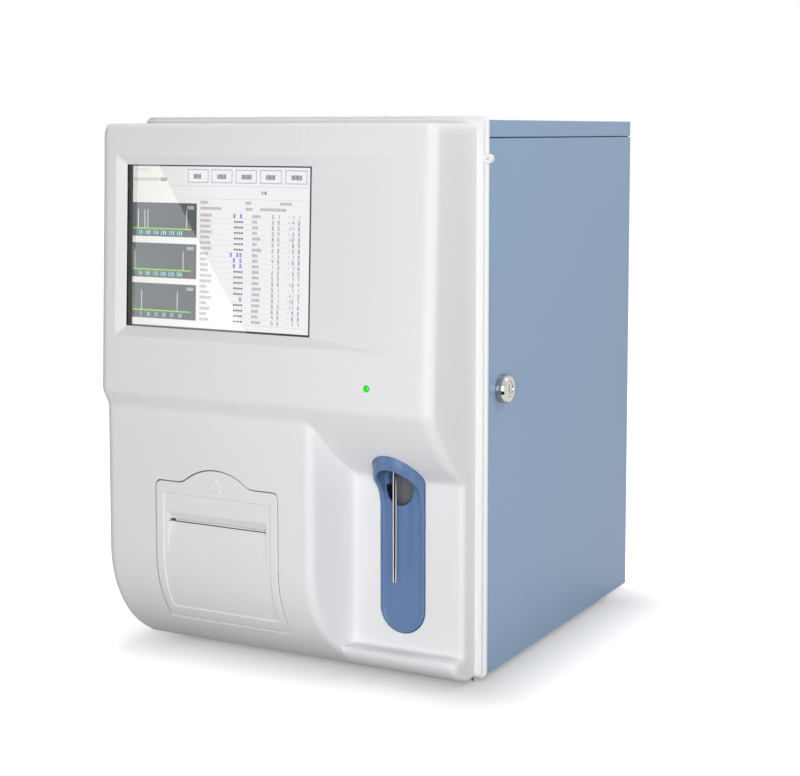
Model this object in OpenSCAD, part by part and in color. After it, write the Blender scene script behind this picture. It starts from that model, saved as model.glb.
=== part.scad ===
// Bench-top blood cell analyser: a folded steel case with a moulded front, a touch screen, a strip
// printer behind a drop-down door, a sampling bay with a lifting probe, and a locked side door.
// Millimetres. X is to the right, Y runs to the back, Z is up, and the feet stand on Z = 0.

/* [Case] */
// Width over the painted side panels
case_w = 311; // [305:1:330]
// Depth of the painted case behind the front moulding
case_d = 302; // [295:1:340]
// Height of the painted case without its feet
case_h = 426; // [422:1:440]
// Thickness of the folded steel sheet
sheet_t = 1.2; // [1:0.1:1.5]
// Open seam between painted panels
seam = 0.8; // [0.6:0.1:1.2]
// Width of the flanges folded along the panel edges
flange_w = 11; // [9:0.5:12]
// Height of the lips folded down from the top cover
lid_lip = 13; // [10:0.5:18]
// Height of the rails under the top cover
rail_h = 22; // [20:1:30]
// Height of the rubber feet
foot_h = 4; // [3.5:0.5:8]
// Radius of a rubber foot where it stands
foot_r = 10; // [8:0.5:14]
// Distance of the foot centres from the case edges
foot_in = 32; // [28:1:50]
// Place of the chassis wall, to the right of the centre
wall_x = 28; // [24:1:32]

/* [Front moulding] */
// Thickness of the moulded wall
wall = 3; // [2.5:0.1:3.2]
// Depth of the rim that meets the case
rim_t = 7.4; // [6:0.2:9]
// How far the rim stands out past the case sides
rim_side = 1.8; // [1:0.1:3]
// How far the rim stands above the top cover
rim_top = 3; // [2:0.1:4]
// Step between the two beads of the rim
bead_step = 2.2; // [1.5:0.1:3]
// Inset of the moulding's side walls from the case sides
shell_in = 6; // [5:0.5:9]
// Drop of the moulding's top below the case top
shell_drop = 2.5; // [2:0.1:5]
// Radius of the moulding's upright front edges
edge_r = 9; // [9:0.5:12]
// Radius of the moulding's top front edge
brow_r = 5; // [4:0.5:8]
// Front reach of the upper block at its lower edge
face_reach = 82.4; // [80:0.2:86]
// Lean of the upper face, in degrees
face_lean = 2.1; // [1.5:0.1:2.5]
// Height of the upper block's rolled lower edge, as a share of the case height
roll_share = 0.50235; // [0.48:0.00005:0.52]
// Radius of that rolled edge
roll_r = 10; // [8:0.5:12]
// Front reach of the lower block
lower_reach = 75; // [73:0.5:76]
// Radius of the curved underside
under_r = 87; // [86:0.5:90]
// Height at which the underside starts to curve in
under_z = 86.7; // [86:0.1:88]
// Radius of the small lugs on the rim
lug_r = 3.7; // [3:0.1:4.5]
// Distance of the lugs below the case top
lug_drop = 29; // [20:1:40]

/* [Sampling bay] */
// Front reach of the bay's back wall
bay_reach = 28; // [27:0.5:29]
// Height of the bay's floor
bay_floor = 24; // [22:0.2:27]
// Place of the bay's left wall at its front
bay_x = 44; // [42:0.5:46]
// How far that wall runs in towards its back
bay_draft = 12; // [8:0.5:14]
// Depth of the ceiling's back edge below the rolled edge
ceil_drop = 60.5; // [58:0.5:63]
// Radius of the curved ceiling
ceil_r = 158; // [150:1:170]

/* [Screen] */
// Width of the visible screen
screen_w = 170.4; // [165:0.2:172]
// Height of the visible screen
screen_h = 127.8; // [124:0.2:130]
// Place of the screen's middle, from the centre
screen_x = -42; // [-44:0.5:-40]
// Height of the screen's middle, as a share of the upper face
screen_share = 0.542; // [0.53:0.002:0.55]
// Depth of the bevel around the screen
bevel_d = 5; // [4:0.2:6]
// Width of the bevel on three sides
bevel_w = 7.5; // [6:0.5:9]
// Width of the long bevel to the right
bevel_long = 70; // [60:1:72]
// Upright lip between the bevel and the glass
glass_lip = 1; // [0.8:0.1:1.5]
// Thickness of the touch glass
glass_t = 3; // [2:0.2:3.2]
// Border of the glass hidden behind the lip
glass_border = 5.5; // [4:0.5:6]
// Thickness of the LCD module
lcd_t = 9; // [7:0.5:12]
// Place of the status lamp, from the centre
lamp_x = 96.3; // [90:0.5:104]
// Height of the status lamp above the rolled edge
lamp_up = 15.5; // [13:0.5:22]
// Radius of the lamp's lens
lamp_r = 2.7; // [2:0.1:3.5]

/* [Printer] */
// Place of the printer door's middle, from the centre
door_x = -43; // [-45:0.5:-41]
// Width of the printer door
door_w = 114.6; // [112:0.2:116]
// Height of the door's shoulders
door_top = 144.5; // [142:0.5:147]
// Height of the finger bump above the shoulders
bump_h = 12; // [8:0.5:14]
// Half width of the finger bump
bump_w = 31.4; // [28:0.2:36]
// Height of the door's hinge axis
door_axis_z = 34.5; // [33:0.5:37]
// Gap around the door
door_gap = 0.6; // [0.5:0.1:0.8]
// Radius of the door's pivot pins
door_pin_r = 1.5; // [1.2:0.1:1.8]
// Height of the paper slot
slot_z = 114; // [112:0.5:116]
// Width of the paper slot
slot_w = 92; // [90:0.5:93]
// Width of the paper roll
paper_w = 79; // [76:0.5:80]
// Radius of the paper roll
paper_r = 22; // [18:0.5:22.5]
// Radius of the platen roller
platen_r = 5.5; // [5:0.1:6]
// Depth of the finger recess under the paper slot
scoop_d = 5.5; // [4.5:0.1:6]

/* [Sampler] */
// Place of the start plate's middle, from the centre
key_x = 98; // [96:0.5:100]
// Width of the start plate
key_w = 38; // [36:0.5:40]
// Height of the start plate's round lower end
key_bottom = 37; // [34:0.5:42]
// Thickness of the start plate
key_t = 4; // [3:0.2:4.4]
// How far the start plate stands proud of the bay's wall
key_proud = 1.5; // [1:0.1:2]
// Gap around the start plate
key_gap = 0.9; // [0.8:0.1:1.1]
// Front reach of the hood's round end, from the plate's back
hood_reach = 32; // [31:0.5:34]
// Height of the hood's visible band
hood_h = 11; // [9:0.5:12]
// Wall of the hood
hood_t = 4; // [3:0.2:4.5]
// Front reach of the sample probe
probe_reach = 41; // [40:0.5:42]
// Radius of the sample probe
probe_r = 1.6; // [1.2:0.1:1.8]
// Height of the probe's tip at rest
probe_tip = 79.6; // [74:0.2:90]
// Travel of the probe
probe_travel = 80; // [60:1:82]
// Radius of the guide rods
rod_r = 3; // [2.5:0.1:3.5]
// Spacing of the guide rods
rod_gap = 32; // [30:1:34]
// Radius of the lead screw
screw_r = 3; // [2.5:0.1:3.5]

/* [Side door lock] */
// Distance of the lock's axis behind the case front
lock_y = 25.5; // [25:0.5:34]
// Height of the lock's axis
lock_z = 223.7; // [200:0.5:260]
// Radius of the lock's bezel
lock_r = 11.35; // [10.5:0.05:12]
// How far the bezel stands out of the door
lock_out = 7.5; // [6:0.1:9]
// Radius of the lock's threaded body
lock_body_r = 9.4; // [9:0.1:9.8]
// Radius of the turning cylinder
lock_plug_r = 6; // [5:0.1:6.5]
// Length of the lock's body inside the door
lock_in = 16; // [15:0.2:18]
// Reach of the lock's cam from its axis
cam_len = 21; // [20:0.5:22]

/* [Hinges] */
// Radius of the hinge knuckles
knuckle_r = 3.2; // [2.8:0.1:4]
// Radius of the hinge pins
hinge_pin_r = 1.5; // [1.2:0.1:1.6]
// Height of a hinge
hinge_h = 54; // [42:1:66]
// Inset of the hinge axis from the door's outer face
hinge_in = 13; // [12.5:0.1:14]
// Distance of the hinges from the case's top and bottom
hinge_end = 80; // [60:1:110]

/* [Rear] */
// Side of the cooling fan
fan_w = 80; // [70:1:82]
// Depth of the cooling fan
fan_d = 25; // [20:0.5:28]
// Radius of a reagent fitting's spigot
spigot_r = 3; // [2.5:0.1:3.5]
// Length of a reagent fitting's spigot
spigot_len = 11; // [8:0.5:14]
// Distance of the fan's middle below the case top
fan_drop = 100; // [90:1:140]
// Number of reagent fittings
fitting_count = 4; // [2:1:4]

/* [Hidden] */
$fn = 64;
eps = 0.01;
far = 400;

// Running clearances: a pin that turns, and a part that slides or is dropped in
run = 0.1;
drop = 0.3;

// Planes of the case
half_w = case_w / 2;
bottom = foot_h;
top = foot_h + case_h;
in_x = half_w - sheet_t;
in_y = case_d - sheet_t;
floor_z = bottom + sheet_t;
panel_top = top - lid_lip - seam;
frame_t = 1.5;

// The shell of the moulding
shell_w = half_w - shell_in;
shell_top = top - shell_drop;
shell_low = bottom - 1.5;
roll_z = bottom + case_h * roll_share;
ceil_z = roll_z - ceil_drop;
lug_z = top - lug_drop;
roll_y = -face_reach + roll_r / cos(face_lean);
under_y = -lower_reach + under_r;

// The ceiling is an arc through the back wall's top edge that runs tangent into the rolled edge
function unit(v) = v / norm(v);
ceil_back = [-bay_reach, ceil_z];
roll_mid = [roll_y, roll_z];
ceil_span = norm(roll_mid - ceil_back);
ceil_along = unit(roll_mid - ceil_back);
ceil_foot = (ceil_r ^ 2 - (ceil_r - roll_r) ^ 2 + ceil_span ^ 2) / (2 * ceil_span);
ceil_mid = ceil_back + ceil_foot * ceil_along
    + sqrt(ceil_r ^ 2 - ceil_foot ^ 2) * [ceil_along[1], -ceil_along[0]];
roll_end = roll_mid + roll_r * unit(roll_mid - ceil_mid);
function ceiling(y) = ceil_mid[1] - sqrt(ceil_r ^ 2 - (y - ceil_mid[0]) ^ 2);

// The screen, in the frame of the leaning face: x, depth behind the face, height above the roll
screen_up = (shell_top - roll_z) * screen_share;
screen_l = screen_x - screen_w / 2;
screen_r = screen_x + screen_w / 2;
screen_b = screen_up - screen_h / 2;
screen_t = screen_up + screen_h / 2;
glass_y = bevel_d + glass_lip;
tray_d = glass_y + glass_t;
tray_rim = 4;

// The printer door
door_l = door_x - door_w / 2;
door_r = door_x + door_w / 2;
door_axis_r = under_r - wall;
door_axis_y = under_y - sqrt(door_axis_r ^ 2 - (under_z - door_axis_z) ^ 2);
door_sweep = door_axis_y - under_y + sqrt(under_r ^ 2 - (under_z - door_axis_z) ^ 2);
door_corner = 5;
bump_span = (bump_w ^ 2 + bump_h ^ 2) / (2 * bump_h);
bump_r = bump_span * 0.785;
bump_flare = bump_span - bump_r;
boss_len = 6;
slot_h = 1.6;
scoop_h = 27;
scoop_back = 2.5;
scoop_lip = 8;
frame_w = 8;
frame_d = 0.8;
scoop_y = -lower_reach + scoop_d;
platen_y = scoop_y + scoop_back + 1 + platen_r;
platen_z = slot_z - 1;
cheek_t = 2.5;
platen_shaft_r = 2;
head_y = platen_y + platen_r + 0.5;
cradle_r = paper_r + 1.5;
cradle_t = 2;
cradle_y = -(cradle_r + cradle_t + 4);
cradle_z = 78;
core_r = 6;

// The start plate and its hood
key_r = key_w / 2;
key_front = -bay_reach - key_proud;
key_back = key_front + key_t;
hood_mid = key_back - hood_reach + key_r;
key_pin_r = 1.5;
key_pin_y = key_back + 5.5;
key_pin_z = ceil_z + 10.5;
key_ear_x = 14.5;
key_ear_t = 4;
window_r = 12;
window_z = ceil_z - 9.5;
plunger_gap = 3.2;
key_bead = 3;

// The lifting sampler, which hangs on the front frame
rod_y = -10;
bracket_t = 4;
bracket_z = ceil_z + 33;
carriage_z = bracket_z + bracket_t + 8;
carriage_h = 18;
bracket_top = carriage_z + carriage_h + probe_travel + 6;
bracket_w = rod_gap + 14;
bracket_d = 20;
motor_w = 28;
motor_h = 27;
probe_top = carriage_z + carriage_h + 14;
wipe_r = 7;
wipe_z = ceil_z + 18;

// The side door, its hinge axis and its lock
door_front = seam + 0.2;
door_low = bottom + 0.4;
hinge_x = half_w - hinge_in;
hinge_y = case_d + knuckle_r;
split = 1.4;
hinge_zs = [bottom + hinge_end, top - hinge_end];
leaf_w = 22;
cam_t = 2;
cam_x = half_w - lock_in - cam_t - 0.4;
cam_w = 12;

// The fluid side
bath_r = 14;
bath_h = 46;
bath_x = 62;
bath_ys = [70, 112];
bath_z = 232;
syringe_y = 60;
syringe_z = 92;
syringe_r = 8;
syringe_h = 74;
syringe_travel = 40;
syringe_bore = syringe_r - 1.6;
syringe_x = 62;
valve_r = 7;
valve_pitch = 19;
valve_count = 7;
valve_y = 112;
valve_z = 150;
pump_y = 210;
pump_r = 24;
waste_y = 214;
waste_r = 27;
waste_z = 215;
waste_h = 120;
clamp_h = 8;
spout_r = 3;
shaft_r = 2.5;
drive_w = 36;
manifold_t = 14;
coil_len = 30;

// The electronics side
board_x = wall_x - 8;
board_t = 1.6;
board_y = 64;
board_d = 177;
board_z = 154;
board_h = 182;
standoff_r = 3;
supply_x = -in_x + 14;
supply_w = 86;
supply_d = 124;
supply_h = 54;
supply_y = case_d - 50 - supply_d;
vent_w = 10;
blade_w = 18;
screw_len = 14;
shelf_up = 9;
head_t = 3;
socket_plate = 14;

// The rear panel's fittings
fan_x = -78;
fan_z = top - fan_drop;
fan_bore = fan_w / 2 - 2;
grille_pitch = fan_bore / 4.7;
grille_r = grille_pitch * 0.37;
hub_r = 17;
inlet_x = -100;
inlet_z = 62;
inlet_w = 28;
inlet_h = 47;
rocker_w = 12;
rocker_h = 19;
rocker_lean = 8;
rocker_z = inlet_z + 38;
rocker_y = case_d - 2;
fitting_x = 40;
fitting_pitch = 22;
fitting_z = 62;
fitting_flange = 6;
post_x = -58;
post_z = 48;
socket_x = -22;
socket_z = 132;
sockets = [[-32, 15, 17], [0, 31, 13], [30, 15, 13]];

// The part's origin lies under the middle of its box, between the face and the reagent spigots
rear_reach = fitting_flange + spigot_len;
mid_y = (case_d + rear_reach - face_reach) / 2;

case_paint = "#8fa5bf";
moulding_white = "#e6e6e8";
steel = "#b9bdc2";
dark = "#3a3a3e";
plate_blue = "#6280af";

// Extrusions along the three axes: (y, z) along X, (x, z) along Y and (x, y) along Z
module along_x(x0, x1) {
    translate([x0, 0, 0]) rotate([90, 0, 90]) linear_extrude(x1 - x0) children();
}
module along_y(y0, y1) {
    translate([0, y1, 0]) rotate([90, 0, 0]) linear_extrude(y1 - y0) children();
}
module along_z(z0, z1) {
    translate([0, 0, z0]) linear_extrude(z1 - z0) children();
}
module span(a0, a1, b0, b1) {
    translate([a0, b0]) square([a1 - a0, b1 - b0]);
}
module block(x0, x1, y0, y1, z0, z1) {
    translate([x0, y0, z0]) cube([x1 - x0, y1 - y0, z1 - z0]);
}
module rod_x(x0, x1, y, z, r) {
    translate([x0, y, z]) rotate([0, 90, 0]) cylinder(h = x1 - x0, r = r);
}
module rod_y(x, y0, y1, z, r) {
    translate([x, y0, z]) rotate([-90, 0, 0]) cylinder(h = y1 - y0, r = r);
}
module rod_z(x, y, z0, z1, r) {
    translate([x, y, z0]) cylinder(h = z1 - z0, r = r);
}
module round_rect(a0, a1, b0, b1, r) {
    span(a0 + r, a1 - r, b0, b1);
    span(a0, a1, b0 + r, b1 - r);
    for (a = [a0 + r, a1 - r], b = [b0 + r, b1 - r]) translate([a, b]) circle(r);
}
module placed() {
    translate([0, -mid_y, 0]) children();
}

// The leaning face: children stand in x, depth behind the face, and height above the roll
module on_face() {
    translate([0, -face_reach, roll_z]) rotate([-face_lean, 0, 0]) children();
}

// Side profile of the upper block: brow, leaning face, rolled edge and arched ceiling
module upper_profile(i, back) {
    out = [-cos(face_lean), sin(face_lean)];
    brow_z = shell_top - brow_r;
    brow_mid = [roll_y + (brow_z - roll_z) * tan(face_lean) + (brow_r - roll_r) / cos(face_lean), brow_z];
    end = roll_mid + (roll_r - i) * unit(roll_mid - ceil_mid);
    polygon([[back, shell_top - i], [brow_mid[0], shell_top - i], brow_mid + (brow_r - i) * out,
        roll_mid + (roll_r - i) * out, roll_mid, [back, roll_z]]);
    translate(brow_mid) circle(brow_r - i);
    translate(roll_mid) circle(roll_r - i);
    intersection() {
        translate(ceil_mid) circle(ceil_r - i, $fn = 256);
        polygon([end, roll_mid, [back, roll_z], [back, ceil_z - 30], [end[0], ceil_z - 30]]);
    }
}

// Side profile of the lower block: an upright face that curves under to the rim
module lower_profile(i, back) {
    span(-lower_reach + i, back, under_z, roll_z);
    intersection() {
        translate([under_y, under_z]) circle(under_r - i, $fn = 256);
        span(-lower_reach, back, shell_low + i, under_z + eps);
    }
}

// Plan with round front corners, reaching to the front plane y0
module plan(x0, x1, y0, back, r) {
    span(x0 + r, x1 - r, y0, back);
    span(x0, x1, y0 + r, back);
    for (x = [x0 + r, x1 - r]) translate([x, y0 + r]) circle(r);
}

// Plan of the printer block, whose right wall runs in towards the bay's back wall
module printer_plan(i, back) {
    side = unit([lower_reach - bay_reach, -bay_draft]);
    r = edge_r / 2 - i / 2;
    turn = [bay_x - (r + i) * (1 + side[1]) / side[0], -lower_reach + i + r];
    touch = turn + r * side;
    end = touch + [-side[1], side[0]] * (-bay_reach + i - touch[1]) / side[0];
    polygon([[-shell_w + edge_r, -lower_reach + i], [turn[0], turn[1] - r], touch, end, [end[0], back],
        [-shell_w + edge_r, back]]);
    translate(turn) circle(r);
    span(-shell_w + i, 0, -lower_reach + edge_r, back);
    translate([-shell_w + edge_r, -lower_reach + edge_r]) circle(edge_r - i);
    span(0, shell_w - i, -bay_reach + i, back);
}

// The moulding's whole form, drawn i inside its surface, open to the plane y = back; the lower
// walls are a little thicker than the upper ones
module shell_form(i, back) {
    low = i * 31 / 30;
    intersection() {
        along_x(-shell_w + i, shell_w - i) upper_profile(i, back);
        on_face() along_z(-100, far) plan(-shell_w + i, shell_w - i, i, far, edge_r - i);
    }
    intersection() {
        along_x(-shell_w + low, shell_w - low) lower_profile(low, back);
        union() {
            along_z(bay_floor - low, roll_z - 1) printer_plan(low, back);
            along_z(0, bay_floor - low) span(-shell_w, shell_w, -lower_reach, back);
        }
    }
}

// Rim in two beads, with a lug on each side
module rim() {
    x = half_w + rim_side;
    low = bottom - rim_side;
    high = top + rim_top;
    difference() {
        union() {
            along_y(-rim_t / 2, 0) round_rect(-x, x, low, high, edge_r / 2);
            along_y(-rim_t, 0)
                round_rect(-x + bead_step, x - bead_step, low + bead_step / 8, high - bead_step, edge_r / 2);
        }
        along_y(-far, far)
            span(-shell_w + wall / 2, shell_w - wall / 2, shell_low + wall / 2, shell_top - wall / 2);
    }
    for (s = [-1, 1]) difference() {
        rod_y(s * (x + lug_r / 6), -rim_t + 1, -1.5, lug_z, lug_r);
        rod_y(s * (x + lug_r / 6), -rim_t, -rim_t / 2, lug_z, lug_r / 3);
    }
}

// Bevelled recess around the screen: the long bevel runs out to the right
module screen_recess() {
    grow = (bevel_d + 2) / bevel_d;
    intersection() {
        along_z(0, far) polygon([[screen_l, bevel_d], [screen_l - bevel_w * grow, -2],
            [screen_r + bevel_long * grow, -2], [screen_r, bevel_d]]);
        along_x(-far, far) polygon([[bevel_d, screen_b], [-2, screen_b - bevel_w * grow],
            [-2, screen_t + bevel_w * grow], [bevel_d, screen_t]]);
    }
    block(screen_l, screen_r, 0, glass_y + 1, screen_b, screen_t);
}

module glass_space(grow, y0, y1) {
    b = glass_border + grow;
    block(screen_l - b, screen_r + b, y0, y1, screen_b - b, screen_t + b);
}

// Outline of the printer door with its finger bump, grown by g
module door_outline(g) {
    round_rect(door_l - g, door_r + g, door_axis_z, door_top + g, door_corner);
    span(door_l - g, door_r + g, door_axis_z, door_axis_z + door_corner * 2);
    difference() {
        span(door_x - bump_w, door_x + bump_w, door_top - 2, door_top + g + bump_h * bump_flare / bump_span);
        for (s = [-1, 1]) translate([door_x + s * bump_w, door_top + bump_flare]) circle(bump_flare - g);
    }
    intersection() {
        translate([door_x, door_top + bump_h - bump_r]) circle(bump_r + g, $fn = 128);
        span(door_x - bump_w, door_x + bump_w, door_top - 2, door_top + bump_h + g + 1);
    }
}

// Plan of the start plate and its hood, grown by g
module hood_plan(g) {
    span(key_x - key_r - g, key_x + key_r + g, hood_mid, key_back + g);
    intersection() {
        translate([key_x, hood_mid]) circle(key_r + g);
        span(key_x - far, key_x + far, hood_mid - far, hood_mid + 1);
    }
}

// Front outline of the start plate, grown by g
module key_outline(g) {
    span(key_x - key_r - g, key_x + key_r + g, key_bottom + key_r, ceil_z + 6);
    translate([key_x, key_bottom + key_r]) circle(key_r + g);
}

module front_panel() {
    tray = glass_border + tray_rim;
    ear = wall + 0.5;
    color(moulding_white) difference() {
        union() {
            difference() {
                union() {
                    shell_form(0, 0);
                    rim();
                }
                shell_form(wall, 1);
                along_y(-far, door_axis_y) door_outline(door_gap);
                rod_x(door_l - door_gap, door_r + door_gap, door_axis_y, door_axis_z, door_sweep + door_gap);
            }
            on_face() block(screen_l - tray - 4, screen_r + bevel_long + wall, 1, tray_d,
                screen_b - tray - 4, screen_t + tray + 4);
            for (x = [door_l - door_gap - boss_len, door_r + door_gap])
                rod_x(x, x + boss_len, door_axis_y, door_axis_z, wall);
            for (s = [-1, 1])
                block(key_x + s * (key_r + 4) - ear / 2, key_x + s * (key_r + 4) + ear / 2,
                    -bay_reach + wall / 2, key_pin_y + 4, ceil_z - 6, key_pin_z + 5);
        }
        on_face() {
            screen_recess();
            glass_space(drop, glass_y, tray_d + 1);
            rod_y(lamp_x, -5, wall + 5, lamp_up, lamp_r + run);
        }
        along_y(-bay_reach - 5, -bay_reach + wall + 5) key_outline(key_gap);
        intersection() {
            along_z(ceil_z - 20, roll_z) hood_plan(key_gap);
            along_x(-far, far) polygon(concat(
                [for (y = [-face_reach : 5 : -20]) [y, ceiling(y) + wall * 2.2]],
                [[-20, 0], [-face_reach, 0]]));
        }
        rod_x(door_l - far / 40, door_r + far / 40, door_axis_y, door_axis_z, door_pin_r + run);
        rod_x(key_x - key_r - far / 40, key_x + key_r + far / 40, key_pin_y, key_pin_z, key_pin_r + run / 2);
    }
}

module touch_glass() {
    color("#20242a") on_face() glass_space(0, glass_y, tray_d);
}

module lcd_module() {
    color(steel) on_face() glass_space(-1, tray_d, tray_d + lcd_t);
}

// Folded tray that holds the display against the moulding
module lcd_bracket() {
    b = glass_border + tray_rim + 2;
    y1 = tray_d + lcd_t;
    color(steel) on_face() difference() {
        union() {
            block(screen_l - b, screen_r + b, tray_d, tray_d + sheet_t, screen_b - b, screen_t + b);
            glass_space(sheet_t, tray_d, y1 + sheet_t);
        }
        glass_space(-1, tray_d - 1, y1);
    }
}

module status_lamp() {
    color("#19c81e") on_face() {
        translate([lamp_x, 0, lamp_up]) rotate([-90, 0, 0]) {
            cylinder(h = wall + 4, r = lamp_r);
            translate([0, 0, wall]) cylinder(h = 2, r = lamp_r + 1);
            intersection() {
                translate([0, 0, lamp_r * 0.6]) sphere(lamp_r * 1.16);
                translate([0, 0, -lamp_r]) cylinder(h = lamp_r + 1, r = lamp_r);
            }
        }
    }
}

// Curved door with a finger bump: inside its frame lies a sunk panel with a bevelled paper slot and
// a scoop under it; the pivot pins are moulded on
module printer_door() {
    slot_l = door_x - slot_w / 2;
    slot_r = door_x + slot_w / 2;
    color(moulding_white) difference() {
        union() {
            intersection() {
                along_x(door_l, door_r) difference() {
                    lower_profile(0, 0);
                    lower_profile(wall, 0);
                }
                along_y(-far, door_axis_y) door_outline(0);
            }
            rod_x(door_l, door_r, door_axis_y, door_axis_z, wall);
            rod_x(door_l - boss_len + 1, door_r + boss_len - 1, door_axis_y, door_axis_z, door_pin_r);
            block(slot_l - wall, slot_r + wall, -lower_reach + 1.5, scoop_y + scoop_back,
                slot_z - scoop_h - 4, slot_z + scoop_lip + 4);
            for (x = [slot_l - wall - cheek_t, slot_r + wall])
                block(x, x + cheek_t, -lower_reach + 1.5, platen_y + 4, platen_z - 5, platen_z + 5);
        }
        intersection() {
            along_x(door_l + frame_w, door_r - frame_w) difference() {
                lower_profile(-2, 0);
                lower_profile(frame_d, 0);
            }
            block(-far, far, -far, door_axis_y - 4, door_axis_z + frame_w, door_top - frame_w);
        }
        along_x(slot_l, slot_r) polygon([[-far, slot_z + scoop_lip], [-lower_reach, slot_z + scoop_lip],
            [scoop_y, slot_z + slot_h], [scoop_y, slot_z], [-lower_reach, slot_z - scoop_h],
            [-far, slot_z - scoop_h]]);
        block(slot_l, slot_r, -far, platen_y, slot_z, slot_z + slot_h);
        rod_x(door_l, door_r, platen_y, platen_z, platen_shaft_r + run);
    }
}

module platen_roller() {
    end = slot_w / 2 + wall + cheek_t + 1;
    color(dark) {
        rod_x(door_x - slot_w / 2 + 1, door_x + slot_w / 2 - 1, platen_y, platen_z, platen_r);
        rod_x(door_x - end, door_x + end, platen_y, platen_z, platen_shaft_r);
    }
}

// Paper bin: a trough around the roll, open to the door, with end walls and a rear flange
module printer_cradle() {
    w = paper_w / 2 + 1;
    outer = cradle_r + cradle_t;
    module trough(r) {
        difference() {
            translate([cradle_y, cradle_z]) circle(r);
            span(cradle_y - far, cradle_y, cradle_z, cradle_z + far);
        }
    }
    color(dark) {
        along_x(door_x - w, door_x + w) difference() {
            trough(outer);
            translate([cradle_y, cradle_z]) circle(cradle_r);
        }
        for (s = [-1, 1]) along_x(door_x + s * (w + cradle_t / 2) - cradle_t / 2,
            door_x + s * (w + cradle_t / 2) + cradle_t / 2) trough(outer);
        block(door_x - w - 8, door_x + w + 8, -cradle_t, 0, cradle_z - 20, cradle_z + 16);
        block(door_x - w, door_x + w, cradle_y + cradle_r, -cradle_t + eps, cradle_z - 6, cradle_z + 6);
    }
}

// A wound roll that lies loose in the trough
module paper_roll() {
    drop_z = cradle_r - paper_r - drop;
    color("#f4f3ee") difference() {
        rod_x(door_x - paper_w / 2, door_x + paper_w / 2, cradle_y, cradle_z - drop_z, paper_r);
        rod_x(door_x - paper_w, door_x + paper_w, cradle_y, cradle_z - drop_z, core_r);
    }
}

// Thermal head on a shelf from the front frame, with its stepper at one end
module print_head() {
    w = slot_w / 2;
    shelf_z = slot_z + shelf_up;
    motor_r = shelf_up + 1;
    color(steel) {
        block(door_x - w, door_x + w, head_y, head_y + head_t, slot_z - shelf_up - 1, shelf_z + head_t);
        block(door_x - w, door_x + w, head_y, 0, shelf_z, shelf_z + head_t);
        block(door_x - w, door_x + w, -2, 0, shelf_z, shelf_z + 5 * head_t + 1);
        block(door_x - w + 4 * head_t, door_x + w - 4 * head_t, head_y + head_t, head_y + 3 * head_t,
            slot_z - shelf_up + 2, slot_z + head_t + 1);
        rod_x(door_x + w - 2 * motor_r, door_x + w, head_y + 2 * shelf_up, shelf_z + motor_r + 2.8, motor_r);
    }
}

// Start plate: a long rounded key with a hood that grows out of the bay's ceiling
module start_key() {
    lift = 2;
    color(plate_blue) difference() {
        union() {
            along_y(key_front, key_back) key_outline(0);
            intersection() {
                along_z(0, far) difference() {
                    hood_plan(0);
                    hood_plan(-hood_t);
                }
                along_x(-far, far) polygon(concat(
                    [for (y = [-face_reach : 4 : key_back + 4]) [y, ceiling(y) + lift]],
                    [for (y = [key_back + 4 : -4 : -face_reach]) [y, ceiling(y) - hood_h]]));
            }
            for (s = [-1, 1]) translate([key_x + s * key_ear_x, 0, 0])
                along_x(-key_ear_t / 2, key_ear_t / 2) {
                    span(key_back - 1, key_pin_y, ceil_z - 6, key_pin_z + 4);
                    translate([key_pin_y, key_pin_z]) circle(4);
                }
        }
        along_y(key_front - 1, key_front + 0.9) intersection() {
            key_outline(-key_bead);
            span(-far, far, 0, window_z);
        }
        along_y(key_front - 1, key_back + 1) {
            translate([key_x, window_z]) circle(window_r);
            span(key_x - window_r, key_x + window_r, window_z, ceil_z + 2);
        }
        rod_x(key_x - key_r, key_x + key_r, key_pin_y, key_pin_z, key_pin_r + run);
    }
}

module key_pin() {
    reach = key_r + 5;
    color(steel) rod_x(key_x - reach, key_x + reach, key_pin_y, key_pin_z, key_pin_r);
}

// Plunger switch on a small bracket, which the plate meets at the end of its travel
module start_switch() {
    z = key_bottom + 26;
    y = key_back + plunger_gap + 3;
    color(dark) {
        block(key_x - 6, key_x + 6, y, y + 9, z - 8, z + 8);
        rod_y(key_x, y - 3, y + 1, z + 4, 2);
        block(key_x - 10, key_x + 10, y + 9 - eps, 0, z - 8, z - 6);
        block(key_x - 10, key_x + 10, -sheet_t, 0, z - 8, z + 12);
    }
}

// Grey guard behind the plate's window, on a leg from the front frame
module splash_shield() {
    y = key_back + 3;
    half = key_ear_x - key_ear_t / 2 - 1;
    color("#4e4e55") {
        block(key_x - half, key_x + half, y, y + 1.5, window_z - window_r - 8, key_pin_z - 5);
        block(key_x - 6, key_x + 6, y, 0, window_z - window_r - 8, window_z - window_r - 6);
        block(key_x - 6, key_x + 6, -sheet_t, 0, window_z - window_r - 24, window_z - window_r - 6);
    }
}

module sample_probe() {
    color(steel) difference() {
        rod_z(key_x, -probe_reach, probe_tip, probe_top, probe_r);
        rod_z(key_x, -probe_reach, probe_tip - 1, probe_top + 1, probe_r / 2);
    }
}

// Carriage that carries the probe forward of the rods and rides on rods and screw
module probe_carriage() {
    color(dark) difference() {
        union() {
            block(key_x - rod_gap / 2 - 6, key_x + rod_gap / 2 + 6, rod_y - 7, rod_y + 7,
                carriage_z, carriage_z + carriage_h);
            block(key_x - 6, key_x + 6, -probe_reach - 6, rod_y, carriage_z + carriage_h - 10,
                carriage_z + carriage_h);
        }
        for (s = [-1, 1])
            rod_z(key_x + s * rod_gap / 2, rod_y, carriage_z - 1, carriage_z + carriage_h + 1, rod_r + run);
        rod_z(key_x, rod_y, carriage_z - 1, carriage_z + carriage_h + 1, screw_r + drop);
        rod_z(key_x, -probe_reach, carriage_z - 1, carriage_z + carriage_h + 1, probe_r + run / 2);
    }
}

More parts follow.
